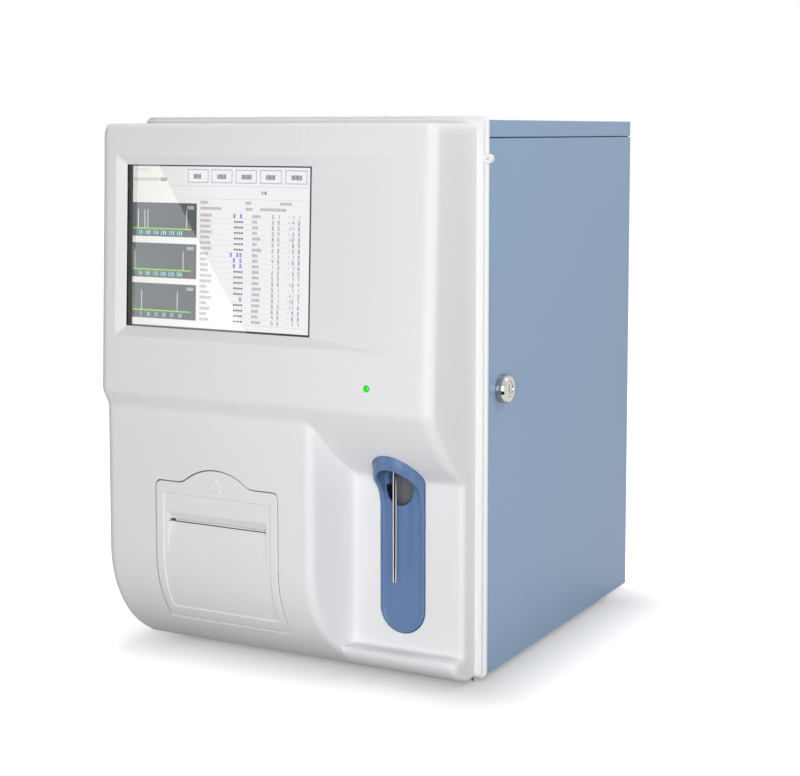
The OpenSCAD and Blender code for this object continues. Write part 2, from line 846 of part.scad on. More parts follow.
// Wash block around the probe, under an arm of the lower bracket
module probe_wipe() {
    color("#18181a") difference() {
        union() {
            rod_z(key_x, -probe_reach, wipe_z, bracket_z, wipe_r);
            rod_z(key_x, -probe_reach, wipe_z, wipe_z + 3, wipe_r + 2);
            rod_x(key_x, key_x + wipe_r + 4, -probe_reach, bracket_z - 8, 1.6);
        }
        rod_z(key_x, -probe_reach, wipe_z - 1, bracket_z + 1, probe_r + drop);
    }
}

// Folded bracket with two shelves that carry the rods, screwed to the front frame
module sampler_bracket() {
    w = bracket_w / 2;
    color(steel) difference() {
        union() {
            block(key_x - w, key_x + w, rod_y - bracket_d / 2, 0, bracket_z, bracket_z + bracket_t);
            block(key_x - w, key_x + w, rod_y - bracket_d / 2, 0, bracket_top, bracket_top + bracket_t);
            block(key_x - w, key_x + w, -sheet_t, 0, bracket_z, bracket_top + bracket_t);
            block(key_x - wipe_r - 2, key_x + wipe_r + 2, -probe_reach - wipe_r, rod_y,
                bracket_z, bracket_z + bracket_t);
        }
        for (s = [-1, 1])
            rod_z(key_x + s * rod_gap / 2, rod_y, bracket_z - 1, bracket_top + bracket_t + 1,
                rod_r + run / 2);
        rod_z(key_x, rod_y, bracket_z - 1, bracket_top + bracket_t + 1, screw_r + run);
        rod_z(key_x, -probe_reach, bracket_z - 1, bracket_z + bracket_t + 1, probe_r + drop);
    }
}

module guide_rods() {
    color("#d6d9dc") for (s = [-1, 1])
        rod_z(key_x + s * rod_gap / 2, rod_y, bracket_z, bracket_top + bracket_t, rod_r);
}

module lead_screw() {
    color(steel) {
        rod_z(key_x, rod_y, bracket_z, bracket_top + bracket_t + 4, screw_r);
        rod_z(key_x, rod_y, bracket_z + bracket_t + drop, bracket_z + bracket_t + 4, screw_r + 2);
    }
}

module lift_motor() {
    z0 = bracket_top + bracket_t;
    w = motor_w / 2;
    color(dark) difference() {
        along_z(z0, z0 + motor_h) intersection() {
            translate([key_x, rod_y - 4]) square(motor_w, center = true);
            translate([key_x, rod_y - 4]) rotate(45) square(motor_w * 1.3, center = true);
        }
        rod_z(key_x, rod_y, z0 - 1, z0 + 5, screw_r + drop);
    }
}

module base_pan() {
    r = in_x - flange_w - 1;
    color(steel) difference() {
        union() {
            block(-in_x, r, frame_t, in_y, bottom, floor_z);
            block(-in_x, -in_x + sheet_t, frame_t, in_y, bottom, bottom + flange_w);
            block(r - sheet_t, r, frame_t, in_y, bottom, bottom + flange_w);
            block(-in_x, r, frame_t, frame_t + sheet_t, bottom, bottom + flange_w);
            block(-in_x, r, in_y - sheet_t, in_y, bottom, bottom + flange_w);
        }
        for (x = [-1, 1], y = [foot_in, case_d - foot_in])
            rod_z(x * (half_w - foot_in), y, bottom - 1, floor_z + 1, 2.2);
    }
}

module feet() {
    color(dark) for (x = [-1, 1], y = [foot_in, case_d - foot_in])
        translate([x * (half_w - foot_in), y, 0]) {
            cylinder(h = foot_h, r1 = foot_r, r2 = foot_r + 1.5);
            cylinder(h = foot_h + sheet_t + 2, r = 2);
        }
}

module left_panel() {
    y0 = frame_t + seam / 4;
    color(case_paint) {
        block(-half_w, -in_x, seam / 4, in_y, bottom, panel_top);
        block(-in_x - eps, -in_x + flange_w, y0, y0 + sheet_t, bottom + flange_w + seam, panel_top - rail_h);
    }
}

// Rear panel with cut-outs for the fan, inlet, fittings and sockets, and a row of vents
module rear_panel() {
    vents = 9;
    color(case_paint) difference() {
        block(-half_w, hinge_x - split / 2, in_y, case_d, bottom, panel_top);
        for (ring = [0 : 4], i = [0 : max(0, 6 * ring - 1)])
            rod_y(fan_x + ring * grille_pitch * cos(i * 60 / max(1, ring)), 0, far,
                fan_z + ring * grille_pitch * sin(i * 60 / max(1, ring)), grille_r);
        block(inlet_x - inlet_w / 2, inlet_x + inlet_w / 2, 0, far,
            inlet_z - inlet_h / 2, rocker_z + rocker_h / 2 + 2);
        for (i = [0 : fitting_count - 1])
            rod_y(fitting_x + i * fitting_pitch, 0, far, fitting_z, spigot_r + 1.7);
        rod_y(post_x, 0, far, post_z, 2.2);
        for (x = [-1, 1], z = [-1, 1])
            rod_y(fan_x + x * (fan_w / 2 - 4.5), 0, far, fan_z + z * (fan_w / 2 - 4.5), 2);
        socket_cuts(drop, 0, far);
        for (i = [0 : vents - 1])
            block(-30, 20, 0, far, fan_z - 32 + 8 * i, fan_z - 29 + 8 * i);
    }
}

// Data sockets in a row: width and height of each around its place
module socket_cuts(g, y0, y1) {
    for (s = sockets) block(socket_x + s[0] - s[1] / 2 - g, socket_x + s[0] + s[1] / 2 + g, y0, y1,
        socket_z - s[2] / 2 - g, socket_z + s[2] / 2 + g);
}

module data_sockets() {
    color(steel) difference() {
        union() {
            socket_cuts(0, in_y - socket_plate + 2, case_d + 2);
            block(socket_x - 3 * socket_plate, socket_x + 3 * socket_plate - 2, in_y - socket_plate,
                in_y - socket_plate + 3, socket_z - socket_plate - 2, socket_z + socket_plate - 2);
        }
        socket_cuts(-2, case_d - 1.5, case_d + 3);
    }
}

module top_cover() {
    y0 = seam / 4;
    color(case_paint) {
        block(-half_w, half_w, y0, case_d, top - sheet_t, top);
        for (x = [-half_w, in_x]) block(x, x + sheet_t, y0, case_d, top - lid_lip, top);
        block(-half_w, half_w, in_y, case_d, top - lid_lip, top);
    }
}

// Channel rails under the cover, from the front frame to the rear panel
module top_rails() {
    z0 = top - sheet_t - rail_h;
    color(steel) for (x = [-in_x, in_x - 2 * flange_w - 1]) difference() {
        block(x, x + flange_w, frame_t, in_y, z0, top - sheet_t);
        block(x + sheet_t, x + far, frame_t - 1, in_y + 1, z0 + sheet_t, top - 2 * sheet_t);
    }
}

module cover_screws() {
    z = top - lid_lip / 2;
    color(steel) for (x = [-0.7, 0, 0.7]) {
        rod_y(x * half_w, case_d, case_d + 2, z, 3.4);
    }
}

// Steel bulkhead behind the moulding
module front_frame() {
    color(steel) difference() {
        block(-in_x + drop, in_x - drop, 0, frame_t, bottom, top - sheet_t);
        rod_y(screen_x, -1, 5, roll_z + screen_up, 14);
        rod_y(door_x, -1, 5, slot_z + 50, 10);
        rod_y(key_x + 34, -1, 5, bracket_z, 10);
    }
}

// Upright wall between the fluid side and the electronics
module chassis_wall() {
    z1 = top - sheet_t - rail_h - 4;
    color(steel) difference() {
        union() {
            block(wall_x, wall_x + sheet_t, frame_t + sheet_t, in_y - sheet_t, floor_z, z1);
            block(wall_x - flange_w, wall_x, frame_t + sheet_t, in_y - sheet_t, floor_z, floor_z + sheet_t);
            block(wall_x - flange_w, wall_x + sheet_t, frame_t, frame_t + sheet_t, floor_z + flange_w, z1);
        }
        for (y = [60, 150, 240]) rod_x(wall_x - 1, wall_x + 9, y, 30, 9);
    }
}

// Side door folded from one sheet: returns at the front, top, bottom and back
module side_door() {
    x0 = half_w - flange_w;
    color(case_paint) difference() {
        union() {
            block(in_x, half_w, door_front, case_d, door_low, panel_top);
            block(x0, in_x + eps, door_front + frame_t - seam / 2, door_front + frame_t + sheet_t - seam / 2,
                door_low, panel_top);
            block(x0, in_x + eps, door_front + frame_t, case_d, panel_top - sheet_t, panel_top);
            block(x0, in_x + eps, door_front + frame_t, case_d, door_low, door_low + sheet_t);
            block(hinge_x + split / 2, half_w, in_y, case_d, door_low, panel_top);
        }
        rod_x(half_w - 9, half_w + 9, lock_y, lock_z, lock_body_r + run);
    }
}

// A hinge leaf on the rear face, with its part of the knuckle; side is 1 for the door
module hinge_leaf(side, z, reach, bore) {
    third = hinge_h / 3;
    gap = 0.3;
    spans = side > 0 ? [[-third / 2 + gap, third / 2 - gap]]
        : [[-hinge_h / 2, -third / 2], [third / 2, hinge_h / 2]];
    free = knuckle_r + gap;
    difference() {
        translate([hinge_x, 0, z]) {
            for (s = spans) {
                rod_z(0, hinge_y, s[0], s[1], knuckle_r);
                block(min(0, side * free), max(0, side * free), case_d, case_d + sheet_t, s[0], s[1]);
            }
            block(min(side * (free - eps), side * reach), max(side * (free - eps), side * reach), case_d,
                case_d + sheet_t, -hinge_h / 2, hinge_h / 2);
        }
        rod_z(hinge_x, hinge_y, z - hinge_h, z + hinge_h, bore);
    }
}

module door_hinges() {
    color(steel) for (z = hinge_zs) hinge_leaf(1, z, hinge_in - 1, hinge_pin_r + run);
}

module case_hinges() {
    color(steel) for (z = hinge_zs) hinge_leaf(-1, z, leaf_w, hinge_pin_r + run / 2);
}

module hinge_pins() {
    color(steel) for (z = hinge_zs) {
        rod_z(hinge_x, hinge_y, z - hinge_h / 2, z + hinge_h / 2 + 1, hinge_pin_r);
        rod_z(hinge_x, hinge_y, z + hinge_h / 2, z + hinge_h / 2 + 1.5, hinge_pin_r + 1);
    }
}

// Cam lock: a domed bezel outside the door and a threaded body through it
module lock_housing() {
    face = 1.6;
    color("#d8dadd") translate([half_w, lock_y, lock_z]) rotate([0, 90, 0]) rotate_extrude() polygon([
        [lock_plug_r + run, -lock_in], [lock_body_r, -lock_in], [lock_body_r, 0], [lock_r, 0],
        [lock_r, lock_out - face - 1], [lock_r - face, lock_out], [lock_plug_r + run, lock_out]]);
}

module lock_nut() {
    flats = 24;
    color(steel) difference() {
        translate([in_x - 5, lock_y, lock_z]) rotate([0, 90, 0]) rotate([0, 0, 30])
            cylinder(h = 5, d = flats / cos(30), $fn = 6);
        rod_x(in_x - 9, in_x + 9, lock_y, lock_z, lock_body_r + run / 2);
    }
}

module lock_cylinder() {
    tail = 3.2;
    color("#c6c8cb") difference() {
        union() {
            rod_x(half_w - lock_in - 0.4, half_w + lock_out - 0.6, lock_y, lock_z, lock_plug_r);
            rod_x(cam_x - 2, half_w - lock_in, lock_y, lock_z, tail);
        }
        block(half_w + lock_out - 9, half_w + far, lock_y - 0.6, lock_y + 0.6, lock_z - 3.4, lock_z + 3.4);
    }
}

// Cam on the cylinder's tail: it hangs down when open and turns forward behind the strike
module lock_cam() {
    tail = 3.2;
    color(steel) translate([0, lock_y, lock_z]) difference() {
        along_x(cam_x, cam_x + cam_t) {
            circle(cam_w / 2 + 1);
            span(-cam_w / 2, cam_w / 2, -cam_len + cam_w / 2, 0);
            translate([0, -cam_len + cam_w / 2]) circle(cam_w / 2);
        }
        rod_x(cam_x - 1, cam_x + 9, 0, 0, tail + run / 2);
    }
}

module lock_strike() {
    x0 = cam_x + cam_t + 0.5;
    reach = lock_y - lock_body_r - 3;
    color(steel) {
        block(x0, x0 + sheet_t, frame_t, reach, lock_z - 12, lock_z + 12);
        block(x0 - 18, x0 + sheet_t, frame_t, frame_t + sheet_t, lock_z - 12, lock_z + 12);
    }
}

// Counting cups with caps, drains and side ports, on mounting blocks against the chassis wall
module counting_baths() {
    cap_h = 6;
    cone_h = 12;
    rise = bath_z + bath_h;
    color("#dfe8ee") for (y = bath_ys) {
        rod_z(bath_x, y, bath_z, rise, bath_r);
        rod_z(bath_x, y, rise, rise + cap_h, bath_r + 2);
        rod_z(bath_x, y, rise, rise + 3 * cap_h, spout_r);
        translate([bath_x, y, bath_z - cone_h]) cylinder(h = cone_h, r1 = spout_r, r2 = bath_r);
        rod_z(bath_x, y, bath_z - 2 * cone_h, bath_z - cone_h + 1, spout_r);
        rod_x(bath_x, bath_x + bath_r * 1.7, y, bath_z + bath_h / 3, spout_r);
        block(wall_x + sheet_t, bath_x, y - bath_r * 0.7, y + bath_r * 0.7,
            bath_z + cap_h, bath_z + bath_h / 2);
    }
}

// Dosing syringe: a drive body on the wall, and a clear barrel hung from its head
module syringe_body() {
    z = syringe_z;
    rise = z + syringe_h;
    head_h = 12;
    color("#e8e9ea") difference() {
        union() {
            block(wall_x + sheet_t, syringe_x - syringe_r - 3,
                syringe_y - drive_w / 2, syringe_y + drive_w / 2, z - syringe_travel - 10, rise + head_h);
            block(syringe_x - syringe_r - 4, syringe_x + syringe_r + 2,
                syringe_y - head_h, syringe_y + head_h, rise - head_h / 2, rise + head_h);
            rod_z(syringe_x, syringe_y, z, rise, syringe_r);
            rod_z(syringe_x, syringe_y, rise, rise + 2 * head_h, spout_r);
        }
        rod_z(syringe_x, syringe_y, z - 1, rise - 4, syringe_bore);
    }
}

module syringe_plunger() {
    z = syringe_z;
    seal_z = z + syringe_h - 16;
    color(steel) {
        rod_z(syringe_x, syringe_y, seal_z, seal_z + syringe_r, syringe_bore - run);
        rod_z(syringe_x, syringe_y, z - syringe_r - 4, seal_z + 1, shaft_r);
        rod_z(syringe_x, syringe_y, z - syringe_r - 6, z - syringe_r, syringe_r + 1);
    }
}

// Row of pinch valves on a manifold
module valve_bank() {
    x0 = wall_x + sheet_t;
    row = valve_pitch * (valve_count - 1);
    edge = valve_r * 1.7;
    color("#d9dadb") {
        block(x0, x0 + manifold_t, valve_y - edge, valve_y + row + edge,
            valve_z - 2 * valve_r, valve_z + 2 * valve_r);
        for (i = [0 : valve_count - 1]) {
            y = valve_y + i * valve_pitch;
            rod_x(x0 + manifold_t - 1, x0 + manifold_t + coil_len, y, valve_z, valve_r);
            rod_x(x0 + manifold_t, x0 + manifold_t + coil_len * 1.2, y, valve_z, valve_r / 2);
        }
    }
}

// Diaphragm pump: a motor in two saddles and a square head
module vacuum_pump() {
    x = wall_x + sheet_t + pump_r + 20;
    z = floor_z + pump_r + 6;
    saddle = pump_r + 2;
    color(dark) {
        rod_y(x, pump_y - pump_r * 1.7, pump_y + pump_r, z, pump_r);
        block(x - pump_r * 0.9, x + pump_r * 0.9, pump_y + pump_r - 1, pump_y + pump_r * 2.1,
            z - pump_r * 0.8, z + pump_r * 1.1);
        for (y = [pump_y - pump_r * 1.3, pump_y + pump_r * 1.3])
            block(x - saddle, x + saddle, y, y + pump_r * 0.4, floor_z, z);
        for (s = [-1, 1])
            rod_y(x + s * pump_r / 2, pump_y + pump_r * 2, pump_y + pump_r * 2.5, z + pump_r * 0.7, spout_r);
    }
}

// Sealed waste vessel between two flanged caps, in two clamps on the chassis wall
module waste_chamber() {
    x = wall_x + sheet_t + waste_r + 6;
    rise = waste_z + waste_h;
    color("#dfe8ee") {
        rod_z(x, waste_y, waste_z, rise, waste_r);
        for (z = [waste_z, rise - clamp_h]) rod_z(x, waste_y, z, z + clamp_h, waste_r + 3);
        for (z = [waste_z + 2 * clamp_h, rise - 3 * clamp_h])
            block(wall_x + sheet_t, x, waste_y - waste_r / 2, waste_y + waste_r / 2, z, z + clamp_h);
        rod_z(x, waste_y, rise, rise + 1.5 * clamp_h, spout_r + 1);
        rod_z(x, waste_y, waste_z - 1.5 * clamp_h, waste_z, spout_r + 1);
    }
}

// Circuit board on standoffs on the far side of the chassis wall, with its chips and capacitors
module mainboard() {
    x = board_x - board_t;
    edge = 2 * standoff_r;
    color("#2f6b46") {
        block(x, board_x, board_y, board_y + board_d, board_z, board_z + board_h);
        for (y = [board_y + edge, board_y + board_d - edge], z = [board_z + edge, board_z + board_h - edge])
            rod_x(board_x - eps, wall_x, y, z, standoff_r);
        for (c = [[0.26, 0.36, 0.17, 0.17, 10], [0.54, 0.25, 0.26, 0.07, 7], [0.15, 0.75, 0.23, 0.07, 7]])
            block(x - c[4], x + eps, board_y + board_d * c[0], board_y + board_d * (c[0] + c[2]),
                board_z + board_h * c[1], board_z + board_h * (c[1] + c[3]));
        for (i = [0 : 2])
            rod_x(x - board_d / 12, x + eps, board_y + board_d * (0.54 + i * 0.12),
                board_z + board_h * 0.64, board_d / 30);
    }
}

// Boxed power supply on the base pan, with slots over its transformer
module power_supply() {
    color(steel) difference() {
        block(supply_x, supply_x + supply_w, supply_y, supply_y + supply_d, floor_z, floor_z + supply_h);
        for (i = [0 : 5])
            block(supply_x + vent_w, supply_x + supply_w - vent_w, supply_y + vent_w * (1 + 1.8 * i),
                supply_y + vent_w * (2 + 1.8 * i), floor_z + supply_h * 0.75, far);
    }
}

// Mains inlet and switch in one snap-in body
module power_inlet() {
    w = inlet_w / 2;
    z0 = inlet_z - inlet_h / 2;
    z1 = rocker_z + rocker_h / 2 + 2;
    well = rocker_h / 2 + 0.9;
    color(dark) difference() {
        union() {
            block(inlet_x - w + drop, inlet_x + w - drop, case_d - 24, case_d + 1, z0 + drop, z1 - drop);
            along_y(case_d, case_d + 2.5) round_rect(inlet_x - w - 3, inlet_x + w + 3, z0 - 3, z1 + 3, 3);
        }
        along_y(case_d - 16, far) round_rect(inlet_x - 10, inlet_x + 10, inlet_z - 8, inlet_z + 8, 3);
        block(inlet_x - rocker_w / 2 - 0.4, inlet_x + rocker_w / 2 + 0.4, rocker_y - 8, far,
            rocker_z - well, rocker_z + well);
        rod_x(inlet_x - rocker_w / 2 - 3, inlet_x + rocker_w / 2 + 3, rocker_y, rocker_z, 1.5 + run);
    }
    color(steel) for (p = [[-6, -1], [6, -1], [0, 3]])
        block(inlet_x + p[0] - 1, inlet_x + p[0] + 1, case_d - 16.5, case_d - 4,
            inlet_z + p[1] - 2, inlet_z + p[1] + 2);
}

module power_rocker() {
    h = rocker_h / 2;
    color("#1c1c1e") translate([0, rocker_y, rocker_z]) {
        rotate([rocker_lean, 0, 0]) along_x(inlet_x - rocker_w / 2, inlet_x + rocker_w / 2)
            polygon([[-3, -h], [4.2, -h], [2.4, 0], [4.2, h], [-3, h], [-5, 0]]);
        rod_x(inlet_x - rocker_w / 2 - 2.5, inlet_x + rocker_w / 2 + 2.5, 0, 0, 1.5);
    }
}

// Square fan frame with four struts to the motor seat
module fan_frame() {
    y0 = in_y - fan_d;
    w = fan_w / 2;
    color(dark) difference() {
        union() {
            difference() {
                along_y(y0, in_y) round_rect(fan_x - w, fan_x + w, fan_z - w, fan_z + w, 4);
                rod_y(fan_x, 0, far, fan_z, fan_bore);
            }
            for (a = [45, 135]) translate([fan_x, 0, fan_z]) rotate([0, a, 0])
                block(-fan_bore - 0.5, fan_bore + 0.5, y0, y0 + 3, -2, 2);
            rod_y(fan_x, y0, y0 + 3, fan_z, hub_r);
            rod_y(fan_x, y0, y0 + 14, fan_z, 2);
        }
        for (x = [-1, 1], z = [-1, 1])
            rod_y(fan_x + x * (w - 4.5), 0, far, fan_z + z * (w - 4.5), 2);
    }
}

// Hub and leaning blades on the frame's shaft
module fan_rotor() {
    y0 = in_y - fan_d + 3 + drop;
    blades = 7;
    color("#242426") difference() {
        union() {
            rod_y(fan_x, y0, in_y - 3, fan_z, hub_r);
            for (i = [0 : blades - 1]) translate([fan_x, y0 + blade_w / 2, fan_z])
                rotate([0, i * 360 / blades, 0]) translate([hub_r - 1, 0, 0]) rotate([38, 0, 0])
                    block(0, fan_bore - hub_r - 1, -0.9, 0.9, -blade_w / 2, blade_w / 2);
        }
        rod_y(fan_x, y0 - 1, y0 + 13, fan_z, 2 + run);
    }
}

// Four pan head screws that hold the fan against the rear panel
module fan_screws() {
    d = fan_w / 2 - 4.5;
    color(steel) for (x = [-1, 1], z = [-1, 1]) {
        rod_y(fan_x + x * d, in_y - screw_len, case_d + 1, fan_z + z * d, 1.9);
        rod_y(fan_x + x * d, case_d, case_d + 1.8, fan_z + z * d, 3.6);
    }
}

// Bulkhead fittings: a hexagon and spigot outside, a threaded shank and nut inside
module reagent_fittings() {
    color("#dadbdd") for (i = [0 : fitting_count - 1])
        translate([fitting_x + i * fitting_pitch, case_d, fitting_z]) rotate([-90, 0, 0]) difference() {
            union() {
                cylinder(h = fitting_flange, r = 8, $fn = 6);
                cylinder(h = fitting_flange + spigot_len, r = spigot_r);
                translate([0, 0, -10]) cylinder(h = 11, r = spigot_r + 1.5);
                translate([0, 0, -sheet_t - 4]) cylinder(h = 4, r = 8, $fn = 6);
            }
            translate([0, 0, -11]) cylinder(h = far, r = spigot_r - 1.4);
        }
}

module earth_post() {
    color("#c9b26a") translate([post_x, case_d, post_z]) rotate([-90, 0, 0]) {
        translate([0, 0, -8]) cylinder(h = 20, r = 2);
        cylinder(h = 3, r = 4.2, $fn = 6);
        translate([0, 0, -sheet_t - 3]) cylinder(h = 3, r = 4.2, $fn = 6);
    }
}

placed() base_pan();
placed() left_panel();
placed() rear_panel();
placed() top_cover();
placed() top_rails();
placed() front_frame();
placed() chassis_wall();
placed() feet();
placed() cover_screws();
placed() front_panel();
placed() touch_glass();
placed() lcd_module();
placed() lcd_bracket();
placed() status_lamp();
placed() printer_door();
placed() printer_cradle();
placed() paper_roll();
placed() platen_roller();
placed() print_head();
placed() start_key();
placed() key_pin();
placed() start_switch();
placed() splash_shield();
placed() sample_probe();
placed() probe_carriage();
placed() probe_wipe();
placed() guide_rods();
placed() lead_screw();
placed() lift_motor();
placed() sampler_bracket();
placed() side_door();
placed() door_hinges();
placed() case_hinges();
placed() hinge_pins();
placed() lock_housing();
placed() lock_nut();
placed() lock_cylinder();
placed() lock_cam();
placed() lock_strike();
placed() counting_baths();
placed() syringe_body();
placed() syringe_plunger();
placed() valve_bank();
placed() vacuum_pump();
placed() waste_chamber();
placed() mainboard();
placed() power_supply();
placed() power_inlet();
placed() power_rocker();
placed() fan_frame();
placed() fan_rotor();
placed() fan_screws();
placed() reagent_fittings();
placed() data_sockets();
placed() earth_post();
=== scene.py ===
import math

import bpy
import numpy as np
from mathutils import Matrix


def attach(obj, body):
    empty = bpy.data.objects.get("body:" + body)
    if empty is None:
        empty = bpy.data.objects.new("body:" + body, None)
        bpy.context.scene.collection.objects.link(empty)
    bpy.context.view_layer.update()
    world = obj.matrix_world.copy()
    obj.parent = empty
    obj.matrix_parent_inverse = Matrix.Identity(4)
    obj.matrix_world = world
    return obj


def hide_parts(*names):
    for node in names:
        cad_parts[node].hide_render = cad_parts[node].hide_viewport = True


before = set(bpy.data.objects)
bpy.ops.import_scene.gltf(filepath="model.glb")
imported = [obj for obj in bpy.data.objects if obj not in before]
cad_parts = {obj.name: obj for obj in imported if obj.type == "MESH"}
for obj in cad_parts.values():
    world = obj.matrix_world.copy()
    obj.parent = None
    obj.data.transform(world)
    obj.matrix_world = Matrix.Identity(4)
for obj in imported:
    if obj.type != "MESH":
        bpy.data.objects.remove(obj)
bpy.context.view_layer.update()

# Base pan, side wall and rear wall of the case
# Folded steel sheet, powder coated light blue in one batch with the covers.
# The left wall and the rear wall are screwed to the pan along its flanges.


def linear(hex_code):
    """sRGB hex to linear light: each channel is divided by 12.92 when dark, and raised to 2.4 otherwise."""
    c = np.array([int(hex_code[i : i + 2], 16) for i in (1, 3, 5)]) / 255
    rgb = np.where(c <= 0.04045, c / 12.92, ((c + 0.055) / 1.055) ** 2.4)
    return (*rgb.tolist(), 1.0)


def add_node(tree, kind, settings=None, **sockets):
    """Adds one shader node, sets its properties, and links or fills the sockets named with underscores for spaces."""
    made = tree.nodes.new(kind)
    for name, value in (settings or {}).items():
        setattr(made, name, value)
    for name, value in sockets.items():
        socket = made.inputs[int(name[1:])] if name[0] == "_" else made.inputs[name.replace("_", " ")]
        if isinstance(value, bpy.types.NodeSocket):
            tree.links.new(value, socket)
        else:
            socket.default_value = value
    return made


def finish(name, base, roughness, **sockets):
    """A material whose Principled shader holds one plain colour, with the other sockets set directly."""
    made = bpy.data.materials.new(name)
    made.use_nodes = True
    shader = made.node_tree.nodes["Principled BSDF"]
    shader.inputs["Base Color"].default_value = linear(base)
    shader.inputs["Roughness"].default_value = roughness
    for socket, value in sockets.items():
        shader.inputs[socket.replace("_", " ")].default_value = value
    return made


def grain(made, grain_mm, depth_mm):
    """Surface grain: noise in Object coordinates whose lumps are grain_mm wide, as a bump depth_mm deep."""
    tree = made.node_tree
    place = add_node(tree, "ShaderNodeTexCoord")
    lumps = add_node(tree, "ShaderNodeTexNoise", Vector=place.outputs["Object"], Scale=1000 / grain_mm, Detail=2.0)
    bump = add_node(tree, "ShaderNodeBump", Height=lumps.outputs["Fac"], Distance=depth_mm / 1000, Strength=1.0)
    tree.links.new(bump.outputs["Normal"], tree.nodes["Principled BSDF"].inputs["Normal"])
    return made


def dress(nodes, material, edge_mm=0.4):
    """Gives CAD nodes a finish: welds their triangles, joins flat ones, and breaks sharp edges by edge_mm."""
    for name in nodes:
        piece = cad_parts[name]
        mesh = piece.data
        mesh.materials.clear()
        mesh.materials.append(material)
        mesh.polygons.foreach_set("use_smooth", np.ones(len(mesh.polygons), bool))
        if "custom_normal" in mesh.attributes:
            mesh.attributes.remove(mesh.attributes["custom_normal"])
        weld = piece.modifiers.new("Weld", "WELD")
        weld.merge_threshold = 2e-6
        flats = piece.modifiers.new("Flats", "DECIMATE")
        flats.decimate_type = "DISSOLVE"
        flats.angle_limit = math.radians(0.4)
        edges = piece.modifiers.new("Edges", "BEVEL")
        edges.width = edge_mm / 1000
        edges.segments = 2
        edges.limit_method = "ANGLE"
        edges.angle_limit = math.radians(35)
        normals = piece.modifiers.new("Normals", "WEIGHTED_NORMAL")
        normals.weight = 80


# Powder coat: a baked film over steel, satin, with a fine orange peel
powder_coat = grain(finish("powder coated steel, light blue", "#8AA5C4", 0.42), 1.4, 0.012)
dress(["base_pan", "left_panel", "rear_panel"], powder_coat, 0.5)

# Frame inside the case
# Zinc plated sheet: the bulkhead behind the moulding, the wall between the fluids and the
# electronics, and two rails under the cover. They are riveted to each other and to the pan.

# Zinc plate: a grey metal, dull, with slight clouds
zinc = grain(finish("zinc plated steel", "#B9BCBF", 0.42, Metallic=1.0), 6.0, 0.01)
dress(["front_frame", "chassis_wall", "top_rails"], zinc, 0.3)

# Feet
# Four pads that carry the case on its bench. They are moulded in grey rubber and pressed into the
# pan near its corners.

# Rubber: mid grey and matt; the same grey also fills the seam block below as painted shade
rubber_and_seam_shade = finish("moulded rubber, grey, and seam shade", "#505052", 0.75)
dress(["feet"], rubber_and_seam_shade, 0.8)

# Fluid side
# Clear counting cups, a metering syringe, pinch valves, a diaphragm pump and the waste vessel,
# each screwed to the chassis wall behind the side door.

# Acrylic: clear and polished, machined from rod
acrylic = finish("machined acrylic", "#E9F1F4", 0.12, IOR=1.49, Transmission_Weight=0.75)
dress(["counting_baths", "waste_chamber"], acrylic, 0.4)
# Acetal: white engineering plastic, satin from the cutter
acetal = finish("machined acetal, white", "#E4E4E1", 0.4)
dress(["syringe_body", "valve_bank"], acetal, 0.4)
# Ground stainless steel: bright, with a soft mirror
ground_steel = finish("ground stainless steel", "#C9CBCD", 0.2, Metallic=1.0)
dress(["syringe_plunger"], ground_steel, 0.2)
# Glass filled nylon: black, moulded, semi-matt
black_nylon = grain(finish("moulded nylon, black", "#1C1C1E", 0.5), 0.9, 0.01)
dress(["vacuum_pump"], black_nylon, 0.6)

# Electronics and rear fittings
# The mainboard stands off the chassis wall, the supply sits on the pan, and the inlet, fan,
# sockets, reagent fittings and earth post are fixed in the rear panel.

# Solder resist: green lacquer over glass epoxy
board_green = finish("circuit board lacquer, green", "#2B6A45", 0.35)
dress(["mainboard"], board_green, 0.3)
dress(["power_supply", "data_sockets", "fan_screws", "cover_screws"], zinc, 0.3)
dress(["power_inlet", "fan_frame", "fan_rotor", "power_rocker"], black_nylon, 0.4)
# Polypropylene: natural, waxy white
polypropylene = finish("moulded polypropylene, natural", "#DADAD4", 0.38)
dress(["reagent_fittings"], polypropylene, 0.3)
# Brass: turned and left bare
brass = finish("turned brass", "#C9A45C", 0.28, Metallic=1.0)
dress(["earth_post"], brass, 0.2)

# Top cover and side door
# Two large covers of the same coated sheet. The cover is screwed down at the rear; the door swings
# on two butt hinges at its rear edge and is held by the lock.
dress(["top_cover", "side_door"], powder_coat, 0.7)
dress(["door_hinges", "case_hinges", "hinge_pins", "lock_strike", "lock_nut", "lock_cam"], zinc, 0.25)

# Lock
# The key lock that holds the side door shut. Its die cast housing and its turning cylinder are
# chrome plated, and a nut behind the door clamps it in place.

# Chrome plate: mirror bright with a slight haze
chrome = finish("chrome plated zinc", "#BDBBB5", 0.12, Metallic=1.0)
dress(["lock_housing", "lock_cylinder"], chrome, 0.5)

# Sampler
# The probe rides down two rods on a carriage that a lead screw lifts. Its motor and rods are
# held by a folded bracket on the front frame, and a washing block wipes the probe.
dress(["sampler_bracket"], zinc, 0.3)
dress(["guide_rods", "lead_screw", "key_pin"], ground_steel, 0.15)
dress(["lift_motor", "probe_carriage"], black_nylon, 0.4)
dress(["probe_wipe"], acetal, 0.3)
# Drawn stainless tube: polished, so its sides mirror the bay
drawn_tube = finish("drawn stainless tube", "#D3D5D8", 0.04, Metallic=1.0)
dress(["sample_probe"], drawn_tube, 0.15)
# Grey ABS: a moulded shield that closes the window behind the key
shield_grey = finish("moulded ABS, dark grey", "#5E5E65", 0.5)
dress(["splash_shield", "start_switch"], shield_grey, 0.3)

# Strip printer
# The roll lies loose in a trough on the front frame; the head stands over the platen, which turns
# in the door's cheeks.
dress(["printer_cradle"], black_nylon, 0.4)
# Thermal paper: smooth, coated, off white
paper = finish("thermal paper", "#F1F0EA", 0.6)
dress(["paper_roll"], paper, 0.2)
dress(["print_head"], zinc, 0.3)
